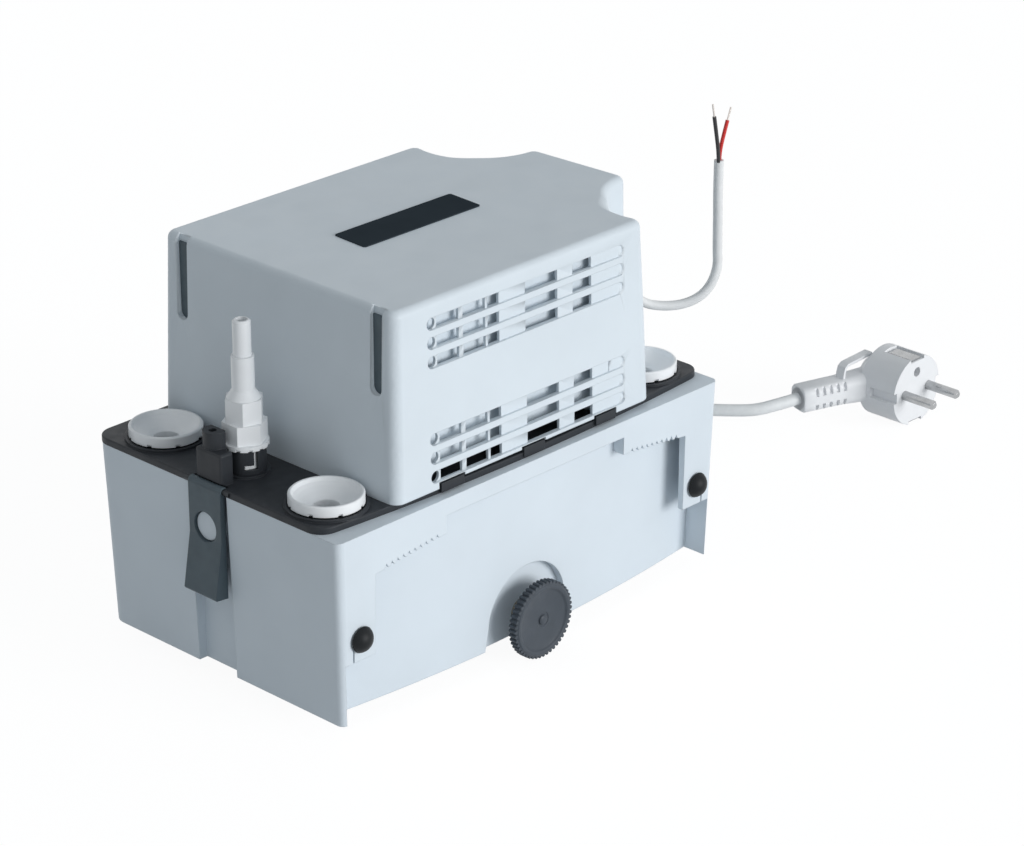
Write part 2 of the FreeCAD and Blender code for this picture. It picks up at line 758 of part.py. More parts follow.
def make_cover():
    body = lofted(cover_wire(0.0, lid_top), cover_wire(0.0, cover_top))
    body = soften(body, cover_corner, upright)
    body = soften(body, cover_edge, level_at(cover_top))
    hollow = lofted(cover_wire(cover_wall, lid_top - 1), cover_wire(cover_wall, cover_top - cover_wall))
    hollow = soften(hollow, 2.0, upright)
    grooves = [middle_y - 0.85 + side * groove_half_spacing for side in (-1, 1)]
    for y in grooves:
        w = groove_width / 2 + cover_wall
        hollow = hollow.cut(box(cover_x0 - 1, cover_x0 + groove_depth + cover_draft + cover_wall, y - w,
                                y + w, cover_top - groove_length - w, cover_top + 1))
    body = body.cut(hollow)
    r = groove_width / 2
    z = cover_top - groove_length + r
    for y in grooves:
        body = body.cut(box(cover_x0 - 1, cover_x0 + groove_depth + 1.2, y - r, y + r, z, cover_top + 1))
        body = body.cut(rod(cover_x0 - 1, y, z, r, groove_depth + 2.2, V(1, 0, 0)))
    for cut in louvre_cuts() + foot_cuts():
        body = body.cut(cut)
    for x, y in screw_spots:
        y0, y1, low = (cover_y0 + 1.5, y, foot_notch_height + 0.4) if y < 0 else (y, cover_y1 - 1.5, 0.0)
        web = box(x - 1, x + 1, y0, y1, lid_top + low, lid_top + boss_height)
        boss = rod(x, y, lid_top, boss_radius, boss_height)
        body = body.fuse(boss.fuse(web)).cut(rod(x, y, lid_top - 1, screw_radius, 14))
    for route, gland in ((mains_route, mains_gland), (alarm_route, alarm_gland)):
        body = body.cut(rod(cover_x1 - 12, route[0][1], route[0][2], gland["hole"], 20, V(1, 0, 0)))
    return body.removeSplitter()


def make_top_plate():
    x0, x1 = plate_x - plate_length / 2, plate_x + plate_length / 2
    y0, y1 = plate_y - plate_depth / 2, plate_y + plate_depth / 2
    s = plate_skew / 2
    z = cover_top
    corners = [(x0 - s, y0, z), (x1 - s, y0, z), (x1 + s, y1, z), (x0 + s, y1, z)]
    return soften(prism(corners, (0, 0, plate_rise)), 1.2, upright)


def make_screws():
    screws = []
    for x, y in screw_spots:
        head = rod(x, y, tank_top - screw_head, 2.9, screw_head)
        screws.append(head.fuse(rod(x, y, tank_top, screw_radius, lid_thick + 12)))
    return Part.makeCompound(screws)


def make_clip():
    x = half_length + clip_proud
    inner = x - clip_thick
    foot = x + clip_flare
    z = pin_z - clip_drop
    profile = [(inner, pin_z), (x, pin_z), (x, pin_z - clip_window_drop - 5), (foot, z + 0.8),
               (foot - 0.6, z), (foot - 7.1, z - 0.7), (inner, z + 8)]
    strap = prism([(a, clip_y0, b) for a, b in profile], (0, clip_width, 0))
    barrel = rod(pin_x, clip_y0, pin_z, clip_barrel, clip_width, V(0, 1, 0))
    body = join(strap, barrel)
    body = body.cut(rod(pin_x, clip_y0 - 1, pin_z, pin_radius + running_gap, clip_width + 2, V(0, 1, 0)))
    return body.cut(rod(inner - 5, end_y, pin_z - clip_window_drop, clip_window_radius, 20, V(1, 0, 0)))


def make_clip_pin():
    return rod(pin_x, clip_y0 - pin_reach, pin_z, pin_radius, clip_width + 2 * pin_reach, V(0, 1, 0))


def make_wheel():
    y = wall_y - buffer_height
    body = rod(0, y, wheel_radius, wheel_radius - 0.35, wheel_thick, V(0, 1, 0))
    knurls = []
    for i in range(wheel_knurls):
        a = 2 * math.pi * (i + 0.5) / wheel_knurls
        r = wheel_radius - wheel_knurl_radius
        knurls.append(rod(r * math.cos(a), y + 0.5, wheel_radius + r * math.sin(a), wheel_knurl_radius,
                          wheel_thick - 1, V(0, 1, 0)))
    body = join(body, *knurls)
    body = body.cut(rod(0, y - 1, wheel_radius, wheel_dish_radius, 1 + wheel_dish_depth, V(0, 1, 0)))
    hub = hexagon(0, 0, 0, wheel_dish_depth + 0.6, wheel_hub_radius, 0)
    hub.rotate(V(0, 0, 0), V(1, 0, 0), -90)
    hub.translate(V(0, y - 0.4, wheel_radius))
    dome = Part.makeSphere(2.2, V(0, y + 1.7, wheel_radius)).common(box(-9, 9, y - 3, y + 1, 0, 2 * wheel_radius))
    body = join(body, hub, dome)
    return body.cut(rod(0, y + 2, wheel_radius, spindle_radius + running_gap, 10, V(0, 1, 0)))


def make_spindle():
    return rod(0, wall_y - buffer_height + 2.1, wheel_radius, spindle_radius, spindle_length, V(0, 1, 0))


def make_insert():
    body = rod(0, arch_y, wheel_radius, spindle_radius + insert_wall, insert_length, V(0, 1, 0))
    bore = rod(0, arch_y - 1, wheel_radius, spindle_radius + running_gap, insert_length + 2, V(0, 1, 0))
    return body.cut(bore)


def slot_bar(inner, outer, half_width, z0, z1, i):
    bar = box(inner, outer, -half_width, half_width, z0, z1)
    return placed(bar, 360 * (i + 0.5) / slot_count, motor_x, middle_y)


def make_stator():
    half = stator_size / 2
    body = box(motor_x - half, motor_x + half, middle_y - half, middle_y + half, stator_z, stator_top)
    body = soften(body, 3.0, upright)
    bore = rotor_radius + air_gap
    body = body.cut(rod(motor_x, middle_y, stator_z - 1, bore, stator_height + 2))
    for i in range(slot_count):
        body = body.cut(slot_bar(bore + 1.2, coil_outer - 1.5, 1.6, stator_z - 1, stator_top + 1, i))
    for x, y in bolt_spots():
        body = body.cut(rod(x, y, stator_z - 1, bolt_radius, stator_height + 2))
    return body


def make_windings():
    rings = []
    for z in (stator_z - coil_height, stator_top):
        coil = ring(motor_x, middle_y, z, coil_outer, coil_inner, coil_height)
        rings.append(soften(coil, 1.5, lambda edge: edge.Length > 60))
    inner = rotor_radius + air_gap + 1.6
    bars = [slot_bar(inner, coil_outer - 1.9, 1.2, stator_z - 1.7, stator_top + 1.7, i)
            for i in range(slot_count)]
    return join(rings[0], rings[1], *bars)


def make_bracket(z, post_z0, post_z1):
    """Square end plate with corner posts between post_z0 and post_z1."""
    half = stator_size / 2
    plate = box(motor_x - half, motor_x + half, middle_y - half, middle_y + half, z, z + bracket_thick)
    posts = [rod(x, y, post_z0, bracket_post, post_z1 - post_z0) for x, y in bolt_spots()]
    body = join(soften(plate, 5.0, upright), *posts)
    body = body.cut(rod(motor_x, middle_y, z - 5, bearing_radius, 20))
    for x, y in bolt_spots():
        body = body.cut(rod(x, y, post_z0 - 1, bolt_radius, 80))
    for i in range(4):
        a = math.radians(90 * i)
        body = body.cut(rod(motor_x + 17 * math.cos(a), middle_y + 17 * math.sin(a), z - 1, 4.5, 8))
    return body


def make_bearings():
    spots = (lower_bracket_z - 1.5, upper_bracket_z - 3.0)
    return Part.makeCompound([ring(motor_x, middle_y, z, bearing_radius, shaft_radius + running_gap,
                                   bearing_height) for z in spots])


def make_bolts():
    top = upper_bracket_z + bracket_thick
    bolts = []
    for x, y in bolt_spots():
        bolts.append(rod(x, y, top, 3.0, 2.4).fuse(rod(x, y, tank_top - 4, bolt_radius, top + 4 - tank_top)))
    return Part.makeCompound(bolts)


def make_shaft():
    low = impeller_z + 1
    return rod(motor_x, middle_y, low, shaft_radius, fan_z + fan_height + 1 - low)


def make_rotor():
    return ring(motor_x, middle_y, stator_z, rotor_radius, shaft_radius, stator_height)


def make_blade(radius, hub, sweep, height, thick, z, turn):
    curve = ring(sweep, 0, z, sweep + thick / 2, sweep - thick / 2, height)
    curve = curve.common(box(0, 2 * sweep, 0, 2 * sweep, z, z + height))
    curve = curve.common(ring(0, 0, z, radius, hub, height))
    return placed(curve, turn, motor_x, middle_y)


def make_fan():
    body = rod(motor_x, middle_y, fan_z, 8.0, fan_height)
    disc = rod(motor_x, middle_y, fan_z, fan_radius, 1.2)
    blades = [make_blade(fan_radius, 7.0, 18.0, fan_height, 1.4, fan_z, 360 * i / fan_blades)
              for i in range(fan_blades)]
    body = join(body, disc, *blades)
    return body.cut(rod(motor_x, middle_y, fan_z - 1, shaft_radius, fan_height + 2))


def make_impeller():
    z = impeller_z
    disc = rod(motor_x, middle_y, z + impeller_height - 2, impeller_radius, 2.0)
    hub = rod(motor_x, middle_y, z, 6.0, impeller_height)
    blades = [make_blade(impeller_radius, 5.5, 13.0, impeller_height - 1, 1.6, z, 360 * i / impeller_blades)
              for i in range(impeller_blades)]
    body = join(hub, disc, *blades)
    return body.cut(rod(motor_x, middle_y, z + 1, shaft_radius, impeller_height + 2))


def make_column():
    body = rod(motor_x, middle_y, volute_top, column_radius, tank_top - volute_top)
    body = join(body, rod(motor_x, middle_y, tank_top - 3, column_radius + 5, 3))
    body = body.cut(rod(motor_x, middle_y, volute_top - 1, column_radius - column_wall, tank_top))
    for i in range(4):
        body = body.cut(rod(motor_x - 20, middle_y, volute_top + 12 + 10 * i, 1.8, 10, V(1, 0, 0)))
    return body


def make_bushing():
    return ring(motor_x, middle_y, volute_top, column_radius - column_wall, shaft_radius + running_gap, 6.0)


def volute_face(grow, z):
    """Spiral that opens from the cutwater to the tangential outlet."""
    points = []
    for i in range(15):
        share = i / 14
        a = math.radians(-75 + 330 * share)
        r = impeller_radius + volute_gap + volute_growth * (1 - share) + grow
        points.append(V(motor_x + r * math.cos(a), middle_y + r * math.sin(a), z))
    curve = Part.BSplineCurve()
    curve.interpolate(points)
    return Part.Face(Part.Wire([curve.toShape(), Part.LineSegment(points[-1], points[0]).toShape()]))


def make_volute():
    y = middle_y - outlet_offset
    spout = rod(motor_x - 34, y, outlet_z, riser_radius + 1.6, 26, V(1, 0, 0))
    body = join(volute_face(volute_wall, chamber_z).extrude(V(0, 0, volute_height)), spout)
    body = body.cut(volute_face(0.0, chamber_z - 1).extrude(V(0, 0, volute_height - volute_wall + 1)))
    body = body.cut(rod(motor_x - 35, y, outlet_z, riser_radius, 11.5, V(1, 0, 0)))
    body = body.cut(rod(motor_x - 35, y, outlet_z, riser_radius - riser_wall, 30, V(1, 0, 0)))
    return body.cut(rod(motor_x, middle_y, volute_top - 10, shaft_radius + running_gap, 20))


def make_volute_cover():
    body = volute_face(volute_wall, volute_z).extrude(V(0, 0, volute_wall))
    feet = []
    for i in range(4):
        a = math.radians(45 + 90 * i)
        x = motor_x + (impeller_radius - 1) * math.cos(a)
        y = middle_y + (impeller_radius - 1) * math.sin(a)
        feet.append(rod(x, y, floor_z, 2.2, volute_feet + 1))
    body = join(body, *feet)
    for i in range(-2, 3):
        w = math.sqrt(volute_eye ** 2 - (i * 3.0) ** 2)
        y = middle_y + i * 3.0
        body = body.cut(box(motor_x - w, motor_x + w, y - 1, y + 1, volute_z - 1, chamber_z + 1))
    return body


def route_wire(points):
    """Straight runs joined by tangent arcs, with the radius of every arc."""
    spots = [V(*p) for p in points]
    edges = []
    radii = []
    last = spots[0]
    for i in range(1, len(spots) - 1):
        back = spots[i - 1] - spots[i]
        ahead = spots[i + 1] - spots[i]
        cut = 0.45 * min(back.Length, ahead.Length)
        turn = math.pi - back.getAngle(ahead)
        back.normalize()
        ahead.normalize()
        radius = cut / math.tan(turn / 2)
        inward = back + ahead
        inward.normalize()
        a = spots[i] + back * cut
        b = spots[i] + ahead * cut
        middle = spots[i] + inward * (radius / math.cos(turn / 2) - radius)
        edges.append(Part.LineSegment(last, a).toShape())
        edges.append(Part.Arc(a, middle, b).toShape())
        radii.append(radius)
        last = b
    edges.append(Part.LineSegment(last, spots[-1]).toShape())
    return Part.Wire(edges), radii


def make_tube(label, points, radius, bore=0.0):
    wire, radii = route_wire(points)
    start = V(*points[0])
    ahead = V(*points[1]) - start
    solid = wire.makePipeShell([Part.Wire(Part.makeCircle(radius, start, ahead))], True, False)
    print("%s: length %.0f, smallest radius %.1f or %.1f diameters, volume %.0f of %.0f"
          % (label, wire.Length, min(radii), min(radii) / radius / 2, solid.Volume,
             math.pi * radius ** 2 * wire.Length))
    if bore:
        solid = solid.cut(wire.makePipeShell([Part.Wire(Part.makeCircle(bore, start, ahead))], True, False))
    return solid


def make_coil():
    """Outer shape of the turns that the spare mains cord is wound into, lying on the floor."""
    pitch = 2 * mains_radius + cord_gap
    wide = coil_turns_wide * pitch / 2
    high = coil_turns_high * pitch
    body = ring(coil_x, coil_y, cord_gap, coil_radius + wide, coil_radius - wide, high)
    return soften(body, mains_radius - cord_gap, lambda edge: edge.Length > math.pi * coil_radius)


def make_riser():
    y = middle_y - outlet_offset
    x, z = outlet_x, outlet_z
    points = [(motor_x - 23.5, y, z), (motor_x - 44, y, z), (x, middle_y, z), (x, middle_y, seat_z - 2)]
    return make_tube("riser pipe", points, riser_radius, riser_radius - riser_wall)


def make_float():
    w, d, h = float_size
    body = box(float_x - w / 2, float_x + w / 2, middle_y - d / 2, middle_y + d / 2, float_z, float_z + h)
    body = soften(body, 4.0, upright)
    body = soften(body, 2.0, lambda edge: level_at(float_z)(edge) or level_at(float_z + h)(edge))
    return body.cut(rod(float_x, middle_y, float_z - 1, rod_radius, h + 2))


def cam_x(z):
    return float_x + cam_face + cam_slope * (cam_top - z)


def make_float_rod():
    return rod(float_x, middle_y, float_z, rod_radius, cam_top + 3 - float_z)


def make_cam():
    low = pump_switch_z - float_travel - 1
    w = cam_width / 2
    y0 = middle_y - w
    wedge = prism([(float_x + 1, y0, low), (cam_x(low), y0, low), (cam_x(cam_top), y0, cam_top),
                   (float_x + 1, y0, cam_top)], (0, cam_width, 0))
    sleeve = rod(float_x, middle_y, low, rod_radius + 1.4, cam_top - low)
    sleeve = sleeve.cut(box(float_x + 1.5, float_x + 9, y0 - 1, y0 + cam_width + 1, low - 1, cam_top + 1))
    return join(wedge, sleeve).cut(rod(float_x, middle_y, low - 1, rod_radius, cam_top - low + 2))


def switch_front(z):
    return cam_x(z) + contact_gap + plunger_free


def make_switch(z):
    x0 = switch_front(z)
    w, d, h = switch_size
    body = soften(box(x0, x0 + w, middle_y - d / 2, middle_y + d / 2, z - h / 2, z + h / 2), 0.8, upright)
    body = body.cut(rod(x0 - 1, middle_y, z, plunger_radius + running_gap, 9.5, V(1, 0, 0)))
    blades = []
    for middle in (z - 6, z, z + 6):
        blades.append(box(x0 + w - 0.1, x0 + w + 4, middle_y - 0.4, middle_y + 0.4, middle - 1.6,
                          middle + 1.6))
    return join(body, *blades)


def make_plunger(z):
    return rod(cam_x(z) + contact_gap, middle_y, z, plunger_radius, plunger_free + 6, V(1, 0, 0))


def make_switch_bracket():
    x0 = switch_front(pump_switch_z) + 2
    y0 = middle_y + switch_size[1] / 2
    wall = box(x0, x0 + 11, y0, y0 + 1.5, lid_top, alarm_switch_z + switch_size[2] / 2)
    return join(wall, box(x0, x0 + 11, y0, y0 + 11, lid_top, lid_top + 1.5))


def make_board():
    w, d, h = board_size
    body = box(board_x - w / 2, board_x + w / 2, middle_y - d / 2, middle_y + d / 2, board_z, board_z + h)
    for x, y in board_spots():
        body = body.cut(rod(x, y, board_z - 1, 1.0, 5))
    return body


def make_board_parts():
    z = board_z + board_size[2]
    x, y = board_x, middle_y
    relay = soften(box(x - 8, x + 2, y - 9, y + 9, z, z + 15), 0.8, upright)
    holder = box(x + 5, x + 8, y - 8, y + 8, z, z + 1.2)
    fuse = join(rod(x + 6.5, y - 10, z + 3, 2.6, 20, V(0, 1, 0)), holder)
    can = rod(x - 3, y + 14, z, 4.0, 12)
    socket = box(x - 8, x + 4, y - 16, y - 11, z, z + 9)
    return Part.makeCompound([relay, fuse, can, socket])


def make_board_screws():
    z = board_z + board_size[2]
    low = lid_top + 1
    return Part.makeCompound([rod(x, y, z, 1.9, 1.4).fuse(rod(x, y, low, 1.0, z - low))
                              for x, y in board_spots()])


def make_terminal_block():
    w, d, h = terminal_size
    x = terminal_x
    body = box(x - w / 2, x + w / 2, middle_y - d / 2, middle_y + d / 2, lid_top, lid_top + h)
    for i in range(5):
        y = middle_y + (i - 2) * d / 5
        body = body.cut(rod(x - w, y, lid_top + 5, 1.6, 2 * w, V(1, 0, 0)))
        body = body.cut(rod(x, y, lid_top + 8, 2.0, h))
    return body


def make_gland(route, radius, sizes):
    tip, y, z = route[0]
    face = cover_x1 - cover_draft * (z - lid_top) / cover_height + 0.2
    nut = -cover_wall - 0.4
    hole, flange = sizes["hole"], sizes["flange"]
    end = tip - face
    profile = [(0, nut - 4), (hole - 1.2, nut - 4), (hole - 1.2, nut - 2), (flange - 0.5, nut - 2),
               (flange - 0.5, nut), (hole, nut), (hole, 0), (flange, 0), (flange, 2), (radius + 2.2, 2.6),
               (radius + sizes["tail"], end), (0, end)]
    return turned(profile, face, y, z, V(1, 0, 0))


def make_plug_body():
    y0 = plug_face_y
    body = rod(plug_x, y0, plug_z, plug_radius, plug_depth, V(0, 1, 0))
    tail = Part.makeCone(plug_radius - 0.4, 11.0, plug_tail, V(plug_x, y0 + plug_depth, plug_z), V(0, 1, 0))
    a = math.radians(handle_turn)
    start = V(*lead_route[-1])
    ahead = V(-math.cos(a), -math.sin(a), 0)
    beside = V(-ahead.y, ahead.x, 0)
    body = join(body, tail, Part.makeCone(handle_radii[0], handle_radii[1], handle_length, start, ahead))
    for side in (-1, 1):
        x = plug_x + side * plug_radius
        z = plug_z + side * plug_radius
        body = body.cut(box(x - 2.6, x + 2.6, y0 - 1, y0 + 15, plug_z - 2.7, plug_z + 2.7))
        body = body.cut(box(plug_x - 5.2, plug_x + 5.2, y0 - 1, y0 + 17, z - 2.4, z + 2.4))
        pin_place = plug_x + side * plug_pin_spacing / 2
        body = body.cut(rod(pin_place, y0 - 1, plug_z, plug_pin_radius, 9, V(0, 1, 0)))
        for i in range(5):
            spot = start + ahead * (6 + 4.2 * i) + beside * (side * 6.4)
            body = body.cut(rod(spot.x, spot.y, spot.z - 2.4, 1.1, 4.8))
    return body.cut(rod(plug_x, y0 - 1, plug_z + earth_hole_rise, 2.5, 15, V(0, 1, 0)))


def make_plug_pins():
    y = plug_face_y - plug_pin_length
    pins = []
    for side in (-1, 1):
        x = plug_x + side * plug_pin_spacing / 2
        pin = rod(x, y + 1, plug_z, plug_pin_radius, plug_pin_length + 7, V(0, 1, 0))
        tip = Part.makeCone(plug_pin_radius - 0.9, plug_pin_radius, 1.0, V(x, y, plug_z), V(0, 1, 0))
        pins.append(join(pin, tip))
    return Part.makeCompound(pins)


def make_earth_clips():
    clips = []
    for side in (-1, 1):
        z = plug_z + side * (plug_radius - 2.4)
        clips.append(box(plug_x - 3.6, plug_x + 3.6, plug_face_y + 1, plug_face_y + 16, min(z, z + side),
                         max(z, z + side)))
    return Part.makeCompound(clips)


def make_tips():
    tips = []
    for route in (black_route, red_route):
        a, b = V(*route[-2]), V(*route[-1])
        tips.append(Part.makeCylinder(tip_radius, tip_length, b, b - a))
    return Part.makeCompound(tips)


shapes = {
    "tank": make_tank(),
    "lid": make_lid(),
    "lid_seal": make_seal(),
    "outlet_collar": make_outlet_collar(),
    "discharge_adapter": make_adapter(),
    "check_ball": make_ball(),
    "riser_pipe": make_riser(),
    "cover": make_cover(),
    "top_plate": make_top_plate(),
    "cover_screws": make_screws(),
    "levelling_wheel": make_wheel(),
    "wheel_spindle": make_spindle(),
    "wheel_insert": make_insert(),
    "stator_core": make_stator(),
    "windings": make_windings(),
    "lower_bracket": make_bracket(lower_bracket_z, lid_top, stator_z),
    "upper_bracket": make_bracket(upper_bracket_z, stator_top, upper_bracket_z + 1),
    "bearings": make_bearings(),
    "motor_bolts": make_bolts(),
    "motor_shaft": make_shaft(),
    "rotor_core": make_rotor(),
    "fan": make_fan(),
    "impeller": make_impeller(),
    "pump_column": make_column(),
    "shaft_bushing": make_bushing(),
    "volute": make_volute(),
    "volute_cover": make_volute_cover(),
    "float_body": make_float(),
    "float_rod": make_float_rod(),
    "switch_cam": make_cam(),
    "switch_bracket": make_switch_bracket(),
    "pump_switch": make_switch(pump_switch_z),
    "alarm_switch": make_switch(alarm_switch_z),
    "pump_plunger": make_plunger(pump_switch_z),
    "alarm_plunger": make_plunger(alarm_switch_z),
    "control_board": make_board(),
    "board_parts": make_board_parts(),
    "board_screws": make_board_screws(),
    "terminal_block": make_terminal_block(),
    "mains_gland": make_gland(mains_route, mains_radius, mains_gland),
    "alarm_gland": make_gland(alarm_route, alarm_radius, alarm_gland),
    "mains_cord": make_tube("mains cord", mains_route, mains_radius),
    "mains_coil": make_coil(),
    "mains_lead": make_tube("mains lead", lead_route, mains_radius),
    "alarm_cord": make_tube("alarm cord", alarm_route, alarm_radius),
    "black_core": make_tube("black core", black_route, core_radius),
    "red_core": make_tube("red core", red_route, core_radius),
    "core_tips": make_tips(),
    "plug_body": make_plug_body(),
    "plug_pins": make_plug_pins(),
    "earth_clips": make_earth_clips(),
    "clip_right": make_clip(),
    "clip_left": mirror_x(make_clip()),
    "clip_pins": Part.makeCompound([make_clip_pin(), mirror_x(make_clip_pin())]),
    "wall_buffers": Part.makeCompound([make_buffer(), mirror_x(make_buffer())]),
}
for name, (x, y) in inlets.items():
    shapes["inlet_" + name] = make_inlet(x, y)
shapes["inlet_seals"] = Part.makeCompound([make_inlet_seal(x, y) for x, y in inlets.values()])

for name, shape in shapes.items():
    shape.exportStep("parts/%s.step" % name)
    print("%-20s solids %d valid %s volume %.0f" % (name, len(shape.Solids), shape.isValid(), shape.Volume))
print(len(shapes), "nodes")
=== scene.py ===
import bpy, bmesh, json, math
from mathutils import Matrix, Vector


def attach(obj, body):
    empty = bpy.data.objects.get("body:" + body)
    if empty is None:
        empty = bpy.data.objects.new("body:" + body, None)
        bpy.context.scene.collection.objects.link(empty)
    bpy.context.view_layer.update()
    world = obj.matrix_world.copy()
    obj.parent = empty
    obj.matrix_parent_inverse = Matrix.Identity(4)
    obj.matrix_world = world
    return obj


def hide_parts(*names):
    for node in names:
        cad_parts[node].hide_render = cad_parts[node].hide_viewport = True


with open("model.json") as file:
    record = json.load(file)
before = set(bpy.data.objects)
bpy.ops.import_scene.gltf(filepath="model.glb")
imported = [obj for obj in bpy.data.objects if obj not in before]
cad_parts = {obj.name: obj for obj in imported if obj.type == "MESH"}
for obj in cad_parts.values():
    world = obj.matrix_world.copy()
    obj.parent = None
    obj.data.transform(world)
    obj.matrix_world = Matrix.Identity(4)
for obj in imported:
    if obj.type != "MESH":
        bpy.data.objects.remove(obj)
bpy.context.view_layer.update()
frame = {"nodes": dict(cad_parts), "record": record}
nodes = frame["nodes"]
print("frame loaded with", len(nodes), "nodes")


# camera: at the photograph's height and side, looking past the clip corner
camera = {
    "place": (-1.002, -1.019, 0.7205),
    "lookAt": (0.0298, -0.0306, 0.088),
    "sensor": 36.0,
    "lens": 124.1,
}
eye = bpy.data.objects.new("photoCamera", bpy.data.cameras.new("photoCamera"))
bpy.context.scene.collection.objects.link(eye)
eye.location = camera["place"]
eye.rotation_euler = (Vector(camera["lookAt"]) - Vector(camera["place"])).to_track_quat("-Z", "Y").to_euler()
eye.data.sensor_width = camera["sensor"]
eye.data.lens = camera["lens"]
eye.data.clip_start = 0.01
bpy.context.scene.camera = eye
bpy.context.scene.view_settings.view_transform = "Standard"
print("camera set")


# small makers that the pieces share
def meshPiece(name, verts, faces, smooth=True):
    mesh = bpy.data.meshes.new(name)
    mesh.from_pydata([tuple(v) for v in verts], [], faces)
    for face in mesh.polygons:
        face.use_smooth = smooth
    mesh.update()
    piece = bpy.data.objects.new(name, mesh)
    bpy.context.scene.collection.objects.link(piece)
    return piece


def blockPiece(name, blocks, rounding):
    # square-edged bars and plates, each given by its two far corners
    bm = bmesh.new()
    for low, high in blocks:
        for v in bmesh.ops.create_cube(bm, size=1.0)["verts"]:
            v.co = [low[i] + (v.co[i] + 0.5) * (high[i] - low[i]) for i in range(3)]
    bmesh.ops.bevel(bm, geom=bm.edges[:], offset=rounding, segments=2, profile=0.5, affect="EDGES")
    mesh = bpy.data.meshes.new(name)
    bm.to_mesh(mesh)
    bm.free()
    piece = bpy.data.objects.new(name, mesh)
    bpy.context.scene.collection.objects.link(piece)
    return piece


def loftPiece(name, rings, smooth=True):
    # joins rings of points that all have the same count, and closes both ends
    count = len(rings[0])
    verts = [point for ring in rings for point in ring]
    faces = [(r * count + i, r * count + (i + 1) % count, (r + 1) * count + (i + 1) % count, (r + 1) * count + i)
             for r in range(len(rings) - 1) for i in range(count)]
    faces.append(tuple(reversed(range(count))))
    faces.append(tuple(range((len(rings) - 1) * count, len(rings) * count)))
    piece = meshPiece(name, verts, faces, smooth)
    bm = bmesh.new()
    bm.from_mesh(piece.data)
    bmesh.ops.recalc_face_normals(bm, faces=bm.faces[:])
    bm.to_mesh(piece.data)
    bm.free()
    piece.data.set_sharp_from_angle(angle=math.radians(40))
    return piece


def cordPiece(name, points, radius):
    curve = bpy.data.curves.new(name, "CURVE")
    curve.dimensions = "3D"
    line = curve.splines.new("NURBS")
    line.points.add(len(points) - 1)
    for spot, point in zip(line.points, points):
        spot.co = (point[0], point[1], point[2], 1.0)
    line.order_u = 3
    line.use_endpoint_u = True
    line.resolution_u = 6
    curve.bevel_depth = radius
    curve.bevel_resolution = 5
    curve.use_fill_caps = True
    piece = bpy.data.objects.new(name, curve)
    bpy.context.scene.collection.objects.link(piece)
    return piece


def resultOf(piece):
    # the piece's mesh with its modifiers or its spline worked out
    bpy.context.view_layer.update()
    return bpy.data.meshes.new_from_object(piece.evaluated_get(bpy.context.evaluated_depsgraph_get()))


# mains lead: out of the gland, down behind the tank, put away in a coil, then round the corner to the plug
mainsLead = {
    "radius": 0.0031,
    "length": 1.785,
    "exit": (0.130, 0.020, 0.1185),
    "fromGland": [
        (0.1300, 0.0200, 0.1185), (0.1427, 0.0200, 0.1185), (0.1546, 0.0205, 0.1141),
        (0.1641, 0.0217, 0.1059), (0.1703, 0.0237, 0.0950), (0.1724, 0.0253, 0.0826),
        (0.1729, 0.0262, 0.0636), (0.1734, 0.0279, 0.0496), (0.1741, 0.0319, 0.0361),
        (0.1743, 0.0393, 0.0239), (0.1731, 0.0496, 0.0142), (0.1696, 0.0610, 0.0076),
        (0.1622, 0.0718, 0.0040), (0.1505, 0.0814, 0.0032), (0.1321, 0.0885, 0.0032),
        (0.1079, 0.0906, 0.0032), (0.0794, 0.0872, 0.0032),
    ],
    "coilMiddle": (0.060, 0.129),
    "coilPlaces": [(0.0418, 0.0032), (0.0355, 0.0032), (0.0292, 0.0032),
                   (0.0292, 0.0095), (0.0355, 0.0095), (0.0418, 0.0095)],
    "coilTurns": 5.5,
    "pointsPerTurn": 16,
    "changeWidth": 1 / 3,
    "firstChange": 0.25,
    "changeStep": 0.125,
    "toPlug": [
        (0.0755, 0.1708, 0.0095), (0.0906, 0.1683, 0.0080), (0.1041, 0.1646, 0.0062),
        (0.1172, 0.1596, 0.0046), (0.1311, 0.1521, 0.0033), (0.1444, 0.1425, 0.0032),
        (0.1574, 0.1299, 0.0032), (0.1691, 0.1145, 0.0032), (0.1799, 0.0967, 0.0045),
        (0.1908, 0.0757, 0.0078), (0.2023, 0.0544, 0.0122), (0.2143, 0.0362, 0.0155),
        (0.2254, 0.0223, 0.0165), (0.2332, 0.0132, 0.0164), (0.2418, 0.0048, 0.0163),
        (0.2524, -0.0005, 0.0177), (0.2638, -0.0042, 0.0185),
    ],
}


def coilPoints(lead):
    # six passes lie in their places on the near half, and move over one by one on the far half
    places, perTurn = lead["coilPlaces"], lead["pointsPerTurn"]
    shrink = 0.981          # the spline runs this much inside its points
    points = []
    for step in range(int(lead["coilTurns"] * perTurn) + 1):
        turned = step / perTurn
        lap, part = int(turned), turned % 1.0
        radius, height = places[min(lap, len(places) - 1)]
        if part > 0.5:
            middle = lead["firstChange"] + (len(places) - 2 - lap) * lead["changeStep"]
            along = ((part - 0.5) * 2 - middle) / lead["changeWidth"] + 0.5
            along = min(1.0, max(0.0, along))
            share = along * along * (3 - 2 * along)
            radius += (places[lap + 1][0] - radius) * share
            height += (places[lap + 1][1] - height) * share
        angle = math.radians(-90 - 360 * turned)
        points.append((lead["coilMiddle"][0] + radius / shrink * math.cos(angle),
                       lead["coilMiddle"][1] + radius / shrink * math.sin(angle), height))
    return points


mainsFlex = cordPiece("mainsFlex", mainsLead["fromGland"] + coilPoints(mainsLead) + mainsLead["toPlug"],
                      mainsLead["radius"])

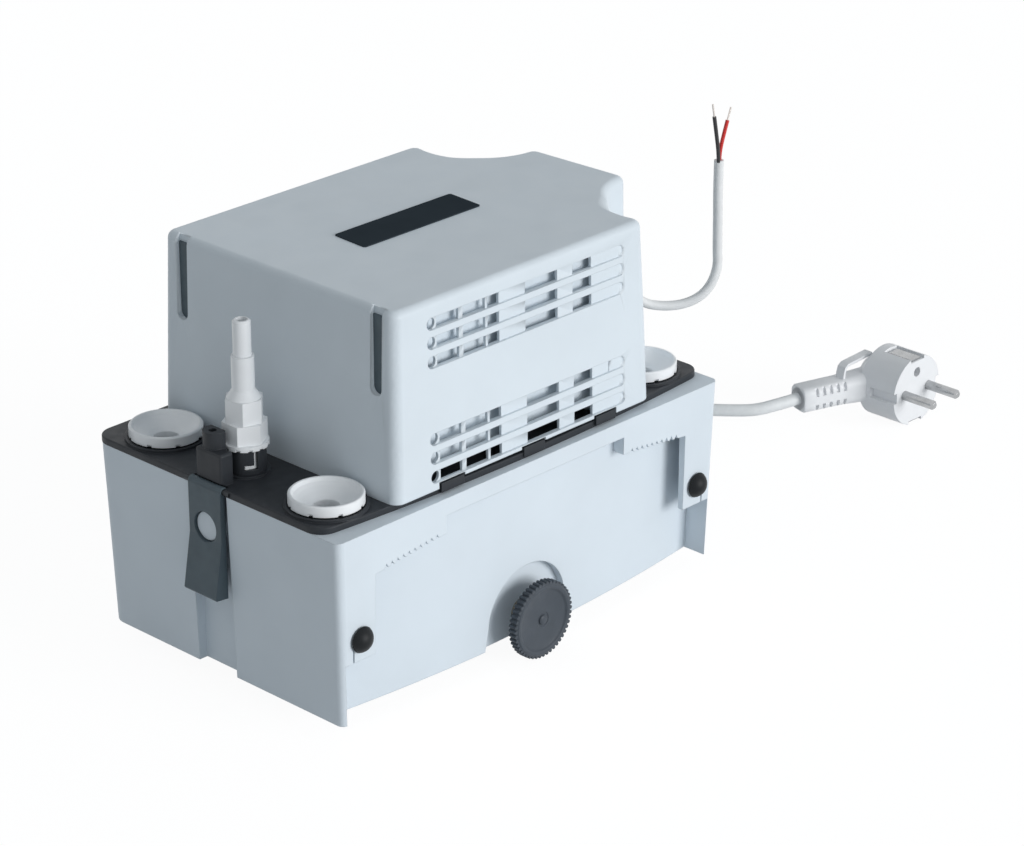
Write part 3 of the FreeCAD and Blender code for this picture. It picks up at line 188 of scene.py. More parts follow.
# alarm cord: stands up beside the cover, with its two cores bared
alarmLead = {
    "radius": 0.00225,
    "length": 0.110,
    "exit": (0.122, -0.014, 0.117),
    "route": [
        (0.1220, -0.0140, 0.1170), (0.1276, -0.0140, 0.1166), (0.1347, -0.0149, 0.1100),
        (0.1430, -0.0197, 0.1076), (0.1512, -0.0248, 0.1077), (0.1581, -0.0292, 0.1108),
        (0.1633, -0.0314, 0.1166), (0.1667, -0.0317, 0.1242), (0.1673, -0.0307, 0.1317),
        (0.1671, -0.0307, 0.1399), (0.1666, -0.0310, 0.1507), (0.1663, -0.0309, 0.1623),
        (0.1669, -0.0306, 0.1760),
    ],
    "coreRadius": 0.00092,
    "blackCore": [(0.1656, -0.0315, 0.1755), (0.1651, -0.0317, 0.1805), (0.1638, -0.0314, 0.1890),
                  (0.1624, -0.0310, 0.1980)],
    "redCore": [(0.1674, -0.0304, 0.1755), (0.1676, -0.0304, 0.1800), (0.1696, -0.0306, 0.1870),
                (0.1720, -0.0308, 0.1940)],
}
alarmFlex = cordPiece("alarmFlex", alarmLead["route"], alarmLead["radius"])
blackWire = cordPiece("blackWire", alarmLead["blackCore"], alarmLead["coreRadius"])
redWire = cordPiece("redWire", alarmLead["redCore"], alarmLead["coreRadius"])
print("cords laid")


# finishes: one shader maker for each kind of material, and one settings row for each slot
def put(tree, kind, inputs=None, **settings):
    node = tree.nodes.new(kind)
    for key, value in settings.items():
        setattr(node, key, value)
    for key, value in (inputs or {}).items():
        if isinstance(value, bpy.types.NodeSocket):
            tree.links.new(value, node.inputs[key])
        else:
            node.inputs[key].default_value = value
    return node


def newFinish(name):
    finish = bpy.data.materials.new(name)
    finish.use_nodes = True
    tree = finish.node_tree
    return finish, tree, tree.nodes["Principled BSDF"]


def noise(tree, size, detail=2.0, points=None):
    spots = points or put(tree, "ShaderNodeTexCoord").outputs["Object"]
    return put(tree, "ShaderNodeTexNoise", {"Vector": spots, "Scale": 1 / size, "Detail": detail,
                                            "Roughness": 0.55}).outputs["Fac"]


def spread(tree, value, low, high, fromLow=0.3, fromHigh=0.7):
    return put(tree, "ShaderNodeMapRange", {"Value": value, "From Min": fromLow, "From Max": fromHigh,
                                            "To Min": low, "To Max": high}).outputs["Result"]


def blendColours(tree, share, first, second, mode="MIX"):
    mix = put(tree, "ShaderNodeMix", data_type="RGBA", blend_type=mode)
    for slot, value in ((0, share), (6, first), (7, second)):
        if isinstance(value, bpy.types.NodeSocket):
            tree.links.new(value, mix.inputs[slot])
        else:
            mix.inputs[slot].default_value = value
    return mix.outputs[2]


def tint(colour, factor):
    return tuple(min(1.0, c * factor) for c in colour) + (1.0,)


def softEdges(tree, radius):
    # rounds the shading of each moulded edge, and gives a mask of where the edges are
    rounded = put(tree, "ShaderNodeBevel", {"Radius": radius}, samples=4).outputs["Normal"]
    flat = put(tree, "ShaderNodeNewGeometry").outputs["True Normal"]
    facing = put(tree, "ShaderNodeVectorMath", {0: rounded, 1: flat}, operation="DOT_PRODUCT").outputs["Value"]
    return rounded, spread(tree, facing, 1.0, 0.0, 0.80, 0.985)


def mouldedPlastic(name, look):
    finish, tree, surface = newFinish(name)
    colour = look["colour"]
    body = blendColours(tree, spread(tree, noise(tree, look["blotch"], 3.0), 0.0, 1.0),
                        tint(colour, 1 - look["mottle"]), tint(colour, 1 + look["mottle"]))
    rounded, edges = softEdges(tree, look["edge"])
    # lighter colour along every moulded edge, convex and concave alike: partly edge wear, partly a painted highlight
    wearAndHighlight = put(tree, "ShaderNodeMath", {0: edges, 1: spread(tree, noise(tree, 0.004, 4.0), 0.2, 1.0)},
               operation="MULTIPLY").outputs[0]
    wearAndHighlight = put(tree, "ShaderNodeMath", {0: wearAndHighlight, 1: look["wearAndHighlightShare"]}, operation="MULTIPLY").outputs[0]
    body = blendColours(tree, wearAndHighlight, body, tint(look["wearAndHighlightColour"], 1))
    tree.links.new(body, surface.inputs["Base Color"])
    tree.links.new(spread(tree, noise(tree, look["blotch"] * 0.4, 4.0), *look["rough"]), surface.inputs["Roughness"])
    grain = noise(tree, look["grain"], 2.0)
    ripple = put(tree, "ShaderNodeBump", {"Height": noise(tree, look["blotch"], 1.0), "Distance": look["ripple"],
                                          "Strength": 1.0, "Normal": rounded})
    bump = put(tree, "ShaderNodeBump", {"Height": grain, "Distance": look["depth"], "Strength": 1.0,
                                        "Normal": ripple.outputs[0]})
    tree.links.new(bump.outputs[0], surface.inputs["Normal"])
    surface.inputs["Specular IOR Level"].default_value = look["shine"]
    surface.inputs["Coat Weight"].default_value = look.get("coat", 0.0)
    surface.inputs["Coat Roughness"].default_value = 0.12
    return finish


def softRubber(name, look):
    finish, tree, surface = newFinish(name)
    colour = look["colour"]
    specks = spread(tree, noise(tree, look["grain"] * 6, 4.0), 0.0, 1.0, 0.45, 0.75)
    tree.links.new(blendColours(tree, specks, tint(colour, 0.97), tint(colour, 1.03)), surface.inputs["Base Color"])
    tree.links.new(spread(tree, noise(tree, 0.006, 3.0), *look["rough"]), surface.inputs["Roughness"])
    bump = put(tree, "ShaderNodeBump", {"Height": noise(tree, look["grain"], 3.0), "Distance": look["depth"]})
    tree.links.new(bump.outputs[0], surface.inputs["Normal"])
    surface.inputs["Specular IOR Level"].default_value = look["shine"]
    return finish


def turnedMetal(name, look):
    # brush lines run across the axis in "along", which is stretched in the pattern
    finish, tree, surface = newFinish(name)
    spots = put(tree, "ShaderNodeTexCoord").outputs["Object"]
    stretched = put(tree, "ShaderNodeMapping", {"Vector": spots, "Scale": look["along"]}).outputs["Vector"]
    lines = noise(tree, look["line"], 5.0, stretched)
    colour = look["colour"]
    stain = spread(tree, noise(tree, 0.005, 4.0), 0.0, 1.0)
    tree.links.new(blendColours(tree, stain, tint(colour, 0.86), tint(colour, 1.06)), surface.inputs["Base Color"])
    tree.links.new(spread(tree, lines, *look["rough"]), surface.inputs["Roughness"])
    rounded, edges = softEdges(tree, look["edge"])
    bump = put(tree, "ShaderNodeBump", {"Height": lines, "Distance": look["depth"], "Normal": rounded})
    tree.links.new(bump.outputs[0], surface.inputs["Normal"])
    surface.inputs["Metallic"].default_value = look.get("metal", 1.0)
    return finish


def layeredBands(name, look):
    # stacked sheets or wound wire: fine bands along one axis, with a dark gap between them
    finish, tree, surface = newFinish(name)
    spots = put(tree, "ShaderNodeTexCoord").outputs["Object"]
    bands = put(tree, "ShaderNodeTexWave", {"Vector": spots, "Scale": look["bandsPerMetre"] / 3.183,
                                            "Distortion": look["waver"], "Detail": 2.0, "Detail Scale": 3.0},
                bands_direction=look["across"], wave_profile="SIN").outputs["Fac"]
    colour = look["colour"]
    tree.links.new(blendColours(tree, bands, tint(colour, 0.45), tint(colour, 1.15)), surface.inputs["Base Color"])
    tree.links.new(spread(tree, noise(tree, 0.003, 4.0), *look["rough"]), surface.inputs["Roughness"])
    bump = put(tree, "ShaderNodeBump", {"Height": bands, "Distance": look["depth"]})
    tree.links.new(bump.outputs[0], surface.inputs["Normal"])
    surface.inputs["Metallic"].default_value = look["metal"]
    surface.inputs["Coat Weight"].default_value = look.get("coat", 0.0)
    return finish


def circuitBoard(name, look):
    # lacquered board with pale tracks between its round pads
    finish, tree, surface = newFinish(name)
    spots = put(tree, "ShaderNodeTexCoord").outputs["Object"]
    cells = put(tree, "ShaderNodeTexVoronoi", {"Vector": spots, "Scale": 1 / look["pitch"]},
                feature="DISTANCE_TO_EDGE", distance="EUCLIDEAN").outputs["Distance"]
    pads = put(tree, "ShaderNodeTexVoronoi", {"Vector": spots, "Scale": 1 / look["pitch"]}).outputs["Distance"]
    tracks = spread(tree, cells, 1.0, 0.0, 0.02, 0.06)
    board = blendColours(tree, tracks, tint(look["colour"], 1), tint(look["colour"], 1.9))
    dots = spread(tree, pads, 1.0, 0.0, 0.10, 0.16)
    tree.links.new(blendColours(tree, dots, board, look["solder"]), surface.inputs["Base Color"])
    tree.links.new(spread(tree, noise(tree, 0.004), 0.18, 0.34), surface.inputs["Roughness"])
    bump = put(tree, "ShaderNodeBump", {"Height": tracks, "Distance": 0.00003})
    tree.links.new(bump.outputs[0], surface.inputs["Normal"])
    return finish


plasticLooks = {
    "light_shell": {"colour": (0.690, 0.757, 0.812), "mottle": 0.018, "blotch": 0.030, "grain": 0.0005,
                    "depth": 0.000018, "ripple": 0.00006, "rough": (0.42, 0.54), "edge": 0.0006, "wearAndHighlightShare": 0.30,
                    "wearAndHighlightColour": (0.90, 0.94, 0.97), "shine": 0.35},
    "tank_shell": {"colour": (0.700, 0.768, 0.828), "mottle": 0.022, "blotch": 0.045, "grain": 0.0006,
                   "depth": 0.000022, "ripple": 0.00010, "rough": (0.46, 0.60), "edge": 0.0006, "wearAndHighlightShare": 0.25,
                   "wearAndHighlightColour": (0.90, 0.94, 0.97), "shine": 0.30},
    "dark_shell": {"colour": (0.030, 0.034, 0.040), "mottle": 0.10, "blotch": 0.015, "grain": 0.0005,
                   "depth": 0.00003, "ripple": 0.00005, "rough": (0.40, 0.55), "edge": 0.0005, "wearAndHighlightShare": 0.30,
                   "wearAndHighlightColour": (0.16, 0.17, 0.19), "shine": 0.22},
    "slate_shell": {"colour": (0.086, 0.116, 0.136), "mottle": 0.08, "blotch": 0.010, "grain": 0.0004,
                    "depth": 0.00003, "ripple": 0.00004, "rough": (0.42, 0.56), "edge": 0.0005, "wearAndHighlightShare": 0.35,
                    "wearAndHighlightColour": (0.22, 0.24, 0.27), "shine": 0.28},
    # a look only: the wheel's own slot stays slate_shell
    "wheel_shell": {"colour": (0.056, 0.068, 0.084), "mottle": 0.08, "blotch": 0.010, "grain": 0.0004,
                    "depth": 0.00003, "ripple": 0.00004, "rough": (0.42, 0.56), "edge": 0.0004, "wearAndHighlightShare": 0.35,
                    "wearAndHighlightColour": (0.20, 0.22, 0.25), "shine": 0.28},
    "dark_plate": {"colour": (0.040, 0.052, 0.063), "mottle": 0.06, "blotch": 0.020, "grain": 0.0012,
                   "depth": 0.000006, "ripple": 0.00002, "rough": (0.30, 0.42), "edge": 0.0003, "wearAndHighlightShare": 0.15,
                   "wearAndHighlightColour": (0.12, 0.13, 0.15), "shine": 0.0},
    "white_shell": {"colour": (0.900, 0.920, 0.940), "mottle": 0.012, "blotch": 0.012, "grain": 0.0008,
                    "depth": 0.000008, "ripple": 0.00003, "rough": (0.28, 0.38), "edge": 0.0005, "wearAndHighlightShare": 0.15,
                    "wearAndHighlightColour": (0.95, 0.96, 0.97), "shine": 0.50},
    "plug_white": {"colour": (0.890, 0.900, 0.920), "mottle": 0.014, "blotch": 0.012, "grain": 0.0005,
                   "depth": 0.000015, "ripple": 0.00003, "rough": (0.38, 0.50), "edge": 0.0006, "wearAndHighlightShare": 0.15,
                   "wearAndHighlightColour": (0.94, 0.95, 0.96), "shine": 0.40},
    "pump_white": {"colour": (0.720, 0.740, 0.750), "mottle": 0.020, "blotch": 0.014, "grain": 0.0006,
                   "depth": 0.00002, "ripple": 0.00003, "rough": (0.40, 0.55), "edge": 0.0005, "wearAndHighlightShare": 0.15,
                   "wearAndHighlightColour": (0.85, 0.86, 0.87), "shine": 0.40},
    "bush_black": {"colour": (0.035, 0.035, 0.037), "mottle": 0.10, "blotch": 0.006, "grain": 0.0004,
                   "depth": 0.00002, "ripple": 0.00002, "rough": (0.35, 0.50), "edge": 0.0003, "wearAndHighlightShare": 0.25,
                   "wearAndHighlightColour": (0.14, 0.14, 0.15), "shine": 0.45},
    "plunger_red": {"colour": (0.520, 0.055, 0.040), "mottle": 0.08, "blotch": 0.004, "grain": 0.0004,
                    "depth": 0.00001, "ripple": 0.00001, "rough": (0.25, 0.38), "edge": 0.0002, "wearAndHighlightShare": 0.20,
                    "wearAndHighlightColour": (0.75, 0.25, 0.20), "shine": 0.50},
    "terminal_white": {"colour": (0.740, 0.740, 0.710), "mottle": 0.02, "blotch": 0.008, "grain": 0.0005,
                       "depth": 0.00002, "ripple": 0.00002, "rough": (0.38, 0.52), "edge": 0.0003, "wearAndHighlightShare": 0.15,
                       "wearAndHighlightColour": (0.86, 0.86, 0.84), "shine": 0.40},
}
rubberLooks = {
    "cord_light": {"colour": (0.850, 0.870, 0.880), "grain": 0.0006, "depth": 0.00002, "rough": (0.40, 0.52),
                   "shine": 0.40},
    "cord_grey": {"colour": (0.780, 0.790, 0.795), "grain": 0.0006, "depth": 0.00002, "rough": (0.42, 0.55),
                  "shine": 0.40},
    "core_black": {"colour": (0.018, 0.018, 0.020), "grain": 0.0004, "depth": 0.00001, "rough": (0.30, 0.42),
                   "shine": 0.50},
    "core_red": {"colour": (0.640, 0.020, 0.015), "grain": 0.0004, "depth": 0.00001, "rough": (0.30, 0.42),
                 "shine": 0.50},
    "buffer_rubber": {"colour": (0.010, 0.012, 0.014), "grain": 0.0004, "depth": 0.00002, "rough": (0.38, 0.50),
                      "shine": 0.18},
    "ball_black": {"colour": (0.022, 0.022, 0.024), "grain": 0.0004, "depth": 0.00001, "rough": (0.30, 0.42),
                   "shine": 0.45},
}
metalLooks = {
    "bare_copper": {"colour": (0.62, 0.58, 0.55), "along": (1, 1, 0.1), "line": 0.0002, "depth": 0.00002,
                    "rough": (0.25, 0.40), "edge": 0.0001},
    "steel": {"colour": (0.58, 0.59, 0.60), "along": (1, 1, 0.08), "line": 0.0004, "depth": 0.00001,
              "rough": (0.25, 0.42), "edge": 0.0003},
    "pin_metal": {"colour": (0.44, 0.45, 0.46), "along": (0.08, 1, 1), "line": 0.0004, "depth": 0.00001,
                  "rough": (0.16, 0.30), "edge": 0.0002},
    "brass_insert": {"colour": (0.34, 0.32, 0.27), "along": (1, 0.08, 1), "line": 0.0004, "depth": 0.00001,
                     "rough": (0.22, 0.38), "edge": 0.0003},
    "bracket_metal": {"colour": (0.62, 0.63, 0.64), "along": (1, 1, 1), "line": 0.0009, "depth": 0.00006,
                      "rough": (0.38, 0.56), "edge": 0.0004},
}
bandLooks = {
    "core_iron": {"colour": (0.16, 0.16, 0.17), "bandsPerMetre": 2000, "across": "Z", "waver": 0.4,
                  "depth": 0.00006, "rough": (0.40, 0.60), "metal": 0.8},
    "copper_wire": {"colour": (0.46, 0.17, 0.06), "bandsPerMetre": 1600, "across": "Z", "waver": 1.2,
                    "depth": 0.00012, "rough": (0.22, 0.36), "metal": 0.3, "coat": 0.5},
}
boardLook = {"colour": (0.015, 0.110, 0.045), "pitch": 0.0035, "solder": (0.55, 0.56, 0.57, 1.0)}

finishes = {}
for slotName, look in plasticLooks.items():
    finishes[slotName] = mouldedPlastic(slotName, look)
for slotName, look in rubberLooks.items():
    finishes[slotName] = softRubber(slotName, look)
for slotName, look in metalLooks.items():
    finishes[slotName] = turnedMetal(slotName, look)
for slotName, look in bandLooks.items():
    finishes[slotName] = layeredBands(slotName, look)
finishes["board_green"] = circuitBoard("board_green", boardLook)

for part in frame["record"]["subparts"]:
    carried = nodes[part["node"]]
    carried.data.materials.clear()
    carried.data.materials.append(finishes[part["material_slot"]])

# the clips' pins are blackened, so they don't show at the lid's edge
blackenedLook = {"colour": (0.05, 0.055, 0.06), "along": (0.1, 1, 1), "line": 0.0004, "depth": 0.00001,
                 "rough": (0.45, 0.60), "edge": 0.0002}
nodes["clip_pins"].data.materials.clear()
nodes["clip_pins"].data.materials.append(turnedMetal("blackened_pins", blackenedLook))


def dress(piece, slotName, body="housing", look=None):
    piece.data.materials.clear()
    piece.data.materials.append(finishes[look or slotName])
    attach(piece, body)
    return piece


print("finishes made:", len(finishes))

# cords: finishes, and what each one stands for
dress(mainsFlex, "cord_light")
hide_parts("mains_cord", "mains_coil", "mains_lead")
dress(alarmFlex, "cord_grey")
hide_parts("alarm_cord")
dress(blackWire, "core_black")
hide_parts("black_core")
dress(redWire, "core_red")
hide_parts("red_core")


socketKinds = {"whole": "NodeSocketInt", "size": "NodeSocketFloat", "vector": "NodeSocketVector"}


def newGroup(name, values):
    # a geometry group that takes a mesh, the named values and a finish, and gives a mesh back
    group = bpy.data.node_groups.new(name, "GeometryNodeTree")
    face = group.interface
    face.new_socket("Geometry", in_out="INPUT", socket_type="NodeSocketGeometry")
    for label, kind in values.items():
        face.new_socket(label, in_out="INPUT", socket_type=socketKinds[kind])
    face.new_socket("Finish", in_out="INPUT", socket_type="NodeSocketMaterial")
    face.new_socket("Geometry", in_out="OUTPUT", socket_type="NodeSocketGeometry")
    return group, put(group, "NodeGroupInput").outputs


def frozen(piece, group, inputs):
    # runs the nodes with the given inputs, and leaves a plain mesh without the modifier
    nodesStep = piece.modifiers.new(group.name, "NODES")
    nodesStep.node_group = group
    for item in group.interface.items_tree:
        if item.in_out == "INPUT" and item.name in inputs:
            nodesStep[item.identifier] = inputs[item.name]
    plain = resultOf(piece)
    piece.modifiers.remove(nodesStep)
    piece.data = plain


# splash shield: a bare plate behind the louvres, held off the front wall by four studs
splashShield = {
    "plate": ((-0.0700, -0.0630, 0.1060), (0.0700, -0.0620, 0.1750)),
    "studWide": 0.0030,
    "studSink": 0.0004,
    "studs": [(-0.0640, 0.1100, -0.0672), (0.0640, 0.1100, -0.0672),
              (-0.0640, 0.1710, -0.0660), (0.0640, 0.1710, -0.0660)],
    "rounding": 0.0003,
}
blocks = [splashShield["plate"]]
for x, z, wallFace in splashShield["studs"]:
    half = splashShield["studWide"] / 2
    blocks.append(((x - half, wallFace, z - half), (x + half, splashShield["plate"][0][1] + splashShield["studSink"],
                                               z + half)))
dress(blockPiece("louvreShield", blocks, splashShield["rounding"]), "light_shell")
print("splash shield made")

# dark slate sheets on the floors of the cover's end grooves: painted shade for the grooves' shadowed insides
grooveShadeSheet = {
    "middles": (0.0617, -0.0579),
    "halfWidth": 0.0033,
    "roundMiddle": 0.1469,
    "top": 0.1785,
    "back": -0.0762,
    "front": -0.0772,
    "arcSteps": 12,
}
for side, middle in zip(("back", "front"), grooveShadeSheet["middles"]):
    half = grooveShadeSheet["halfWidth"]
    outline = [(middle + half, grooveShadeSheet["top"]), (middle - half, grooveShadeSheet["top"])]
    for step in range(grooveShadeSheet["arcSteps"] + 1):
        angle = math.pi + math.pi * step / grooveShadeSheet["arcSteps"]
        outline.append((middle + half * math.cos(angle), grooveShadeSheet["roundMiddle"] + half * math.sin(angle)))
    rings = [[(x, y, z) for y, z in outline] for x in (grooveShadeSheet["back"], grooveShadeSheet["front"])]
    # each sheet is painted shade: a dark slate sheet where the groove floor lies in shadow
    dress(loftPiece("grooveShadeSheet_" + side, rings), "slate_shell")
print("groove inlays made")

# pull ear behind the plug: a flat moulded strip that leaves the handle and ends free
pullEar = {
    "line": [(0.2862, 0.0225), (0.2868, 0.0280), (0.2876, 0.0306), (0.2896, 0.0318), (0.2990, 0.0322),
             (0.3085, 0.0326)],
    "depthFrom": -0.0150,
    "depthTo": -0.0102,
    "thick": 0.0015,
}
rings = []
for i, (x, z) in enumerate(pullEar["line"]):
    before, after = pullEar["line"][max(0, i - 1)], pullEar["line"][min(len(pullEar["line"]) - 1, i + 1)]
    along = Vector((after[0] - before[0], after[1] - before[1])).normalized()
    ox, oz = -along.y * pullEar["thick"] / 2, along.x * pullEar["thick"] / 2
    rings.append([(x + ox, pullEar["depthFrom"], z + oz), (x + ox, pullEar["depthTo"], z + oz),
                  (x - ox, pullEar["depthTo"], z - oz), (x - ox, pullEar["depthFrom"], z - oz)])
dress(loftPiece("plugEar", rings), "plug_white")
print("pull ear made")

# plug grip: the squarer handle round the source's plain one, with its rows of finger slots
plugGrip = {
    "start": (0.2638, -0.0042, 0.0185),
    "turn": -18.0,
    # each section: how far along, half its width, half its height, and its corner radius
    "sections": [(0.0, 0.0062, 0.0060, 0.0034), (0.0009, 0.0067, 0.0065, 0.0036),
                 (0.0235, 0.0068, 0.0067, 0.0038), (0.0310, 0.0073, 0.0073, 0.0045),
                 (0.0390, 0.0080, 0.0080, 0.0060), (0.0455, 0.0092, 0.0092, 0.0080)],
    "cornerSteps": 5,
    "slots": 5,
    "slotPitch": 0.0041,
    "firstSlot": 0.0072,
    "slotSize": (0.0017, 0.0030, 0.0050),
    "rows": [(0.0065, 0.0044), (0.0065, -0.0050), (-0.0065, 0.0044), (-0.0065, -0.0050)],
}
turn = math.radians(plugGrip["turn"])
gripStart = Vector(plugGrip["start"])
gripAhead = Vector((math.cos(turn), math.sin(turn), 0))
gripBeside = Vector((-math.sin(turn), math.cos(turn), 0))
rings = []
for along, halfWide, halfHigh, corner in plugGrip["sections"]:
    ring = []
    for quarter, (sx, sz) in enumerate(((1, 1), (-1, 1), (-1, -1), (1, -1))):
        for step in range(plugGrip["cornerSteps"] + 1):
            angle = math.radians(90) * (quarter + step / plugGrip["cornerSteps"])
            out = sx * (halfWide - corner) + corner * math.cos(angle)
            high = sz * (halfHigh - corner) + corner * math.sin(angle)
            ring.append(gripStart + gripAhead * along + gripBeside * out + Vector((0, 0, high)))
    rings.append(ring)
gripSleeve = loftPiece("gripSleeve", rings)


def slotTree():
    group, given = newGroup("gripSlots", {"Slots": "whole", "First": "vector", "Step": "vector",
                                          "Slot Size": "vector", "Turn": "vector"})
    places = put(group, "GeometryNodeMeshLine", {"Count": given["Slots"], "Start Location": given["First"],
                                                 "Offset": given["Step"]})
    slotBar = put(group, "GeometryNodeMeshCube", {"Size": given["Slot Size"]})
    bars = put(group, "GeometryNodeInstanceOnPoints", {"Points": places.outputs["Mesh"],
                                                       "Instance": slotBar.outputs["Mesh"],
                                                       "Rotation": given["Turn"]})
    real = put(group, "GeometryNodeRealizeInstances", {"Geometry": bars.outputs["Instances"]})
    cut = put(group, "GeometryNodeMeshBoolean", {"Mesh 1": given["Geometry"], "Mesh 2": real.outputs["Geometry"]},
              operation="DIFFERENCE")
    painted = put(group, "GeometryNodeSetMaterial", {"Geometry": cut.outputs["Mesh"], "Material": given["Finish"]})
    put(group, "NodeGroupOutput", {"Geometry": painted.outputs["Geometry"]})
    return group


gripSlots = slotTree()
for out, high in plugGrip["rows"]:
    first = gripStart + gripAhead * plugGrip["firstSlot"] + gripBeside * out + Vector((0, 0, high))
    frozen(gripSleeve, gripSlots, {
        "Slots": plugGrip["slots"], "First": tuple(first), "Step": tuple(gripAhead * plugGrip["slotPitch"]),
        "Slot Size": plugGrip["slotSize"], "Turn": (0.0, 0.0, turn), "Finish": finishes["plug_white"]})
gripSleeve.data.set_sharp_from_angle(angle=math.radians(40))
dress(gripSleeve, "plug_white")
print("plug grip made")

# cover shell: the source's cover with its far end drawn out to the photographed outline
farEnd = {
    "from": 0.0730,
    "to": 0.0785,
    "foot": 0.0972,
    "top": 0.1819,
    "frontShift": 0.0048,
    "backShift": 0.0022,
    "footShare": 0.36,
    "frontAt": -0.030,
    "backAt": 0.030,
    "weld": 0.000005,
    "creaseFrom": 22.0,
}


def shareOf(value, low, high):
    return min(1.0, max(0.0, (value - low) / (high - low)))


coverShell = bpy.data.objects.new("coverShell", nodes["cover"].data.copy())
bpy.context.scene.collection.objects.link(coverShell)
bm = bmesh.new()
bm.from_mesh(coverShell.data)
bmesh.ops.remove_doubles(bm, verts=bm.verts[:], dist=farEnd["weld"])
for v in bm.verts:
    ramp = shareOf(v.co.x, farEnd["from"], farEnd["to"])
    across = shareOf(v.co.y, farEnd["frontAt"], farEnd["backAt"])
    rise = shareOf(v.co.z, farEnd["foot"], farEnd["top"])
    shift = farEnd["frontShift"] + (farEnd["backShift"] - farEnd["frontShift"]) * across
    v.co.x += ramp * shift * (farEnd["footShare"] + (1 - farEnd["footShare"]) * rise)
bm.to_mesh(coverShell.data)
bm.free()
for face in coverShell.data.polygons:
    face.use_smooth = True
coverShell.data.set_sharp_from_angle(angle=math.radians(farEnd["creaseFrom"]))
evenShading = coverShell.modifiers.new("evenShading", "WEIGHTED_NORMAL")
evenShading.keep_sharp = True
evenShading.weight = 100
shaded = resultOf(coverShell)
coverShell.modifiers.remove(evenShading)
coverShell.data = shaded
dress(coverShell, "light_shell")
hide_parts("cover")
print("cover shell made")

# levelling wheel: a dished disc with a plain rim, and lobes set round it by Geometry Nodes
wheelLook = {
    "middle": (0.0, 0.0181),
    "hubAndDish": [(0.0010, -0.0788), (0.0018, -0.0786), (0.0023, -0.0782), (0.0024, -0.0776),
                   (0.0034, -0.0776), (0.0036, -0.0779), (0.0136, -0.0779), (0.0142, -0.0782)],
    "rimAndBack": [(0.0145, -0.0787), (0.0148, -0.0789), (0.0162, -0.0789), (0.0166, -0.0786), (0.0170, -0.0783),
                   (0.0172, -0.0780), (0.0172, -0.0745), (0.0168, -0.0741), (0.0150, -0.0739)],
    "spindleHole": [(0.0042, -0.0739), (0.0042, -0.0768)],
    "around": 96,
    "lobes": 48,
    "lobeRing": 0.01726,
    "lobeRadius": 0.00083,
    "lobeLength": 0.0040,
    "lobeMiddle": -0.0764,
}


def lobeTree():
    group, given = newGroup("rimLobes", {"Lobes": "whole", "Ring Radius": "size", "Lobe Radius": "size",
                                         "Lobe Length": "size", "Middle": "vector"})
    ring = put(group, "GeometryNodeMeshCircle", {"Vertices": given["Lobes"], "Radius": given["Ring Radius"]})
    lobe = put(group, "GeometryNodeMeshCylinder", {"Vertices": 12, "Radius": given["Lobe Radius"],
                                                   "Depth": given["Lobe Length"]})
    lobes = put(group, "GeometryNodeInstanceOnPoints", {"Points": ring.outputs["Mesh"],
                                                        "Instance": lobe.outputs["Mesh"]})
    turned = put(group, "GeometryNodeTransform", {"Geometry": lobes.outputs["Instances"],
                                                  "Rotation": (math.radians(90), 0.0, 0.0),
                                                  "Translation": given["Middle"]})
    both = put(group, "GeometryNodeJoinGeometry")
    group.links.new(turned.outputs["Geometry"], both.inputs["Geometry"])
    group.links.new(given["Geometry"], both.inputs["Geometry"])
    real = put(group, "GeometryNodeRealizeInstances", {"Geometry": both.outputs["Geometry"]})
    painted = put(group, "GeometryNodeSetMaterial", {"Geometry": real.outputs["Geometry"],
                                                     "Material": given["Finish"]})
    put(group, "NodeGroupOutput", {"Geometry": painted.outputs["Geometry"]})
    return group


rings = []
middleX, middleZ = wheelLook["middle"]
directions = [2 * math.pi * i / wheelLook["around"] for i in range(wheelLook["around"])]
for radius, y in wheelLook["hubAndDish"] + wheelLook["rimAndBack"] + wheelLook["spindleHole"]:
    rings.append([(middleX + radius * math.cos(angle), y, middleZ + radius * math.sin(angle))
                  for angle in directions])
levelWheel = loftPiece("levelWheel", rings)
frozen(levelWheel, lobeTree(), {
    "Lobes": wheelLook["lobes"], "Ring Radius": wheelLook["lobeRing"], "Lobe Radius": wheelLook["lobeRadius"],
    "Lobe Length": wheelLook["lobeLength"],
    "Middle": (middleX, wheelLook["lobeMiddle"], middleZ),
    "Finish": finishes["wheel_shell"]})
levelWheel.data.set_sharp_from_angle(angle=math.radians(35))
dress(levelWheel, "slate_shell", "wheel", "wheel_shell")
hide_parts("levelling_wheel")
print("wheel made")


# floor, world and lamp
studio = {
    "floorRadius": 1.6,
    "floorColour": (0.80, 0.81, 0.82, 1.0),
    "floorGlow": 1.10,
    "floorGlowShare": 0.85,
    "skyColour": (0.357, 0.380, 0.394, 1.0),
    "sunFrom": (0.25, -0.95, 0.20),
    "sunStrength": 2.05,
    "sunAngle": 34.0,
}


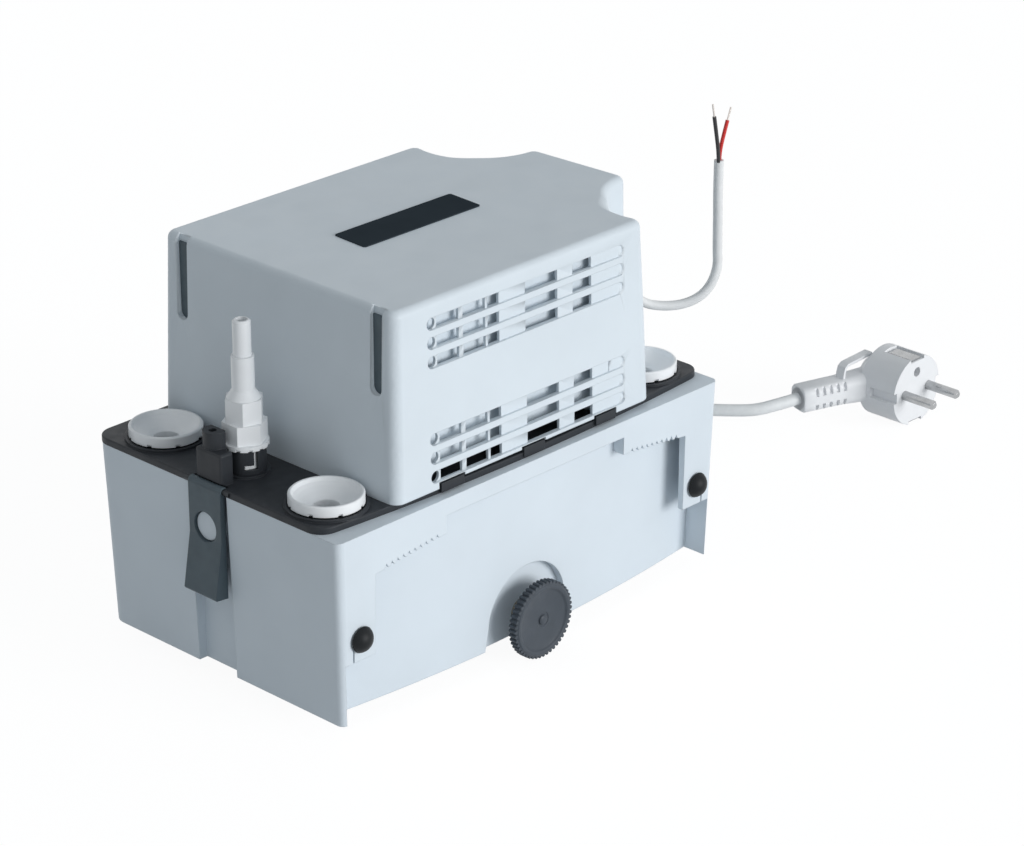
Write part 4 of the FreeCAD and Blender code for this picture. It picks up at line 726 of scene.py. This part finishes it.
def rayIsSeen(tree):
    rays = put(tree, "ShaderNodeLightPath")
    either = put(tree, "ShaderNodeMath", {0: rays.outputs["Is Camera Ray"], 1: rays.outputs["Is Glossy Ray"]},
                 operation="MAXIMUM").outputs[0]
    return put(tree, "ShaderNodeMath", {0: either, 1: rays.outputs["Is Transmission Ray"]},
               operation="MAXIMUM").outputs[0]


bm = bmesh.new()
bmesh.ops.create_circle(bm, cap_ends=True, segments=96, radius=studio["floorRadius"])
floorMesh = bpy.data.meshes.new("studioFloor")
bm.to_mesh(floorMesh)
bm.free()
floor = bpy.data.objects.new("studioFloor", floorMesh)
bpy.context.scene.collection.objects.link(floor)
floorFinish = bpy.data.materials.new("paleFloor")
floorFinish.use_nodes = True
tree = floorFinish.node_tree
tree.nodes.clear()
matt = put(tree, "ShaderNodeBsdfDiffuse", {"Color": studio["floorColour"]})
glow = put(tree, "ShaderNodeEmission", {"Color": (1, 1, 1, 1), "Strength": studio["floorGlow"]})
share = put(tree, "ShaderNodeMath", {0: rayIsSeen(tree), 1: studio["floorGlowShare"]}, operation="MULTIPLY")
mixed = put(tree, "ShaderNodeMixShader", {0: share.outputs[0]})
tree.links.new(matt.outputs[0], mixed.inputs[1])
tree.links.new(glow.outputs[0], mixed.inputs[2])
tree.links.new(mixed.outputs[0], put(tree, "ShaderNodeOutputMaterial").inputs["Surface"])
floor.data.materials.append(floorFinish)

world = bpy.data.worlds.new("studioWorld")
bpy.context.scene.world = world
world.use_nodes = True
tree = world.node_tree
tree.nodes.clear()
sky = put(tree, "ShaderNodeBackground", {"Color": studio["skyColour"], "Strength": 1.0})
white = put(tree, "ShaderNodeBackground", {"Color": (1, 1, 1, 1), "Strength": 1.0})
mixed = put(tree, "ShaderNodeMixShader", {0: rayIsSeen(tree)})
tree.links.new(sky.outputs[0], mixed.inputs[1])
tree.links.new(white.outputs[0], mixed.inputs[2])
tree.links.new(mixed.outputs[0], put(tree, "ShaderNodeOutputWorld").inputs["Surface"])

sun = bpy.data.objects.new("softSun", bpy.data.lights.new("softSun", "SUN"))
bpy.context.scene.collection.objects.link(sun)
sun.rotation_euler = Vector(studio["sunFrom"]).to_track_quat("Z", "Y").to_euler()
sun.data.energy = studio["sunStrength"]
sun.data.angle = math.radians(studio["sunAngle"])
print("studio ready")
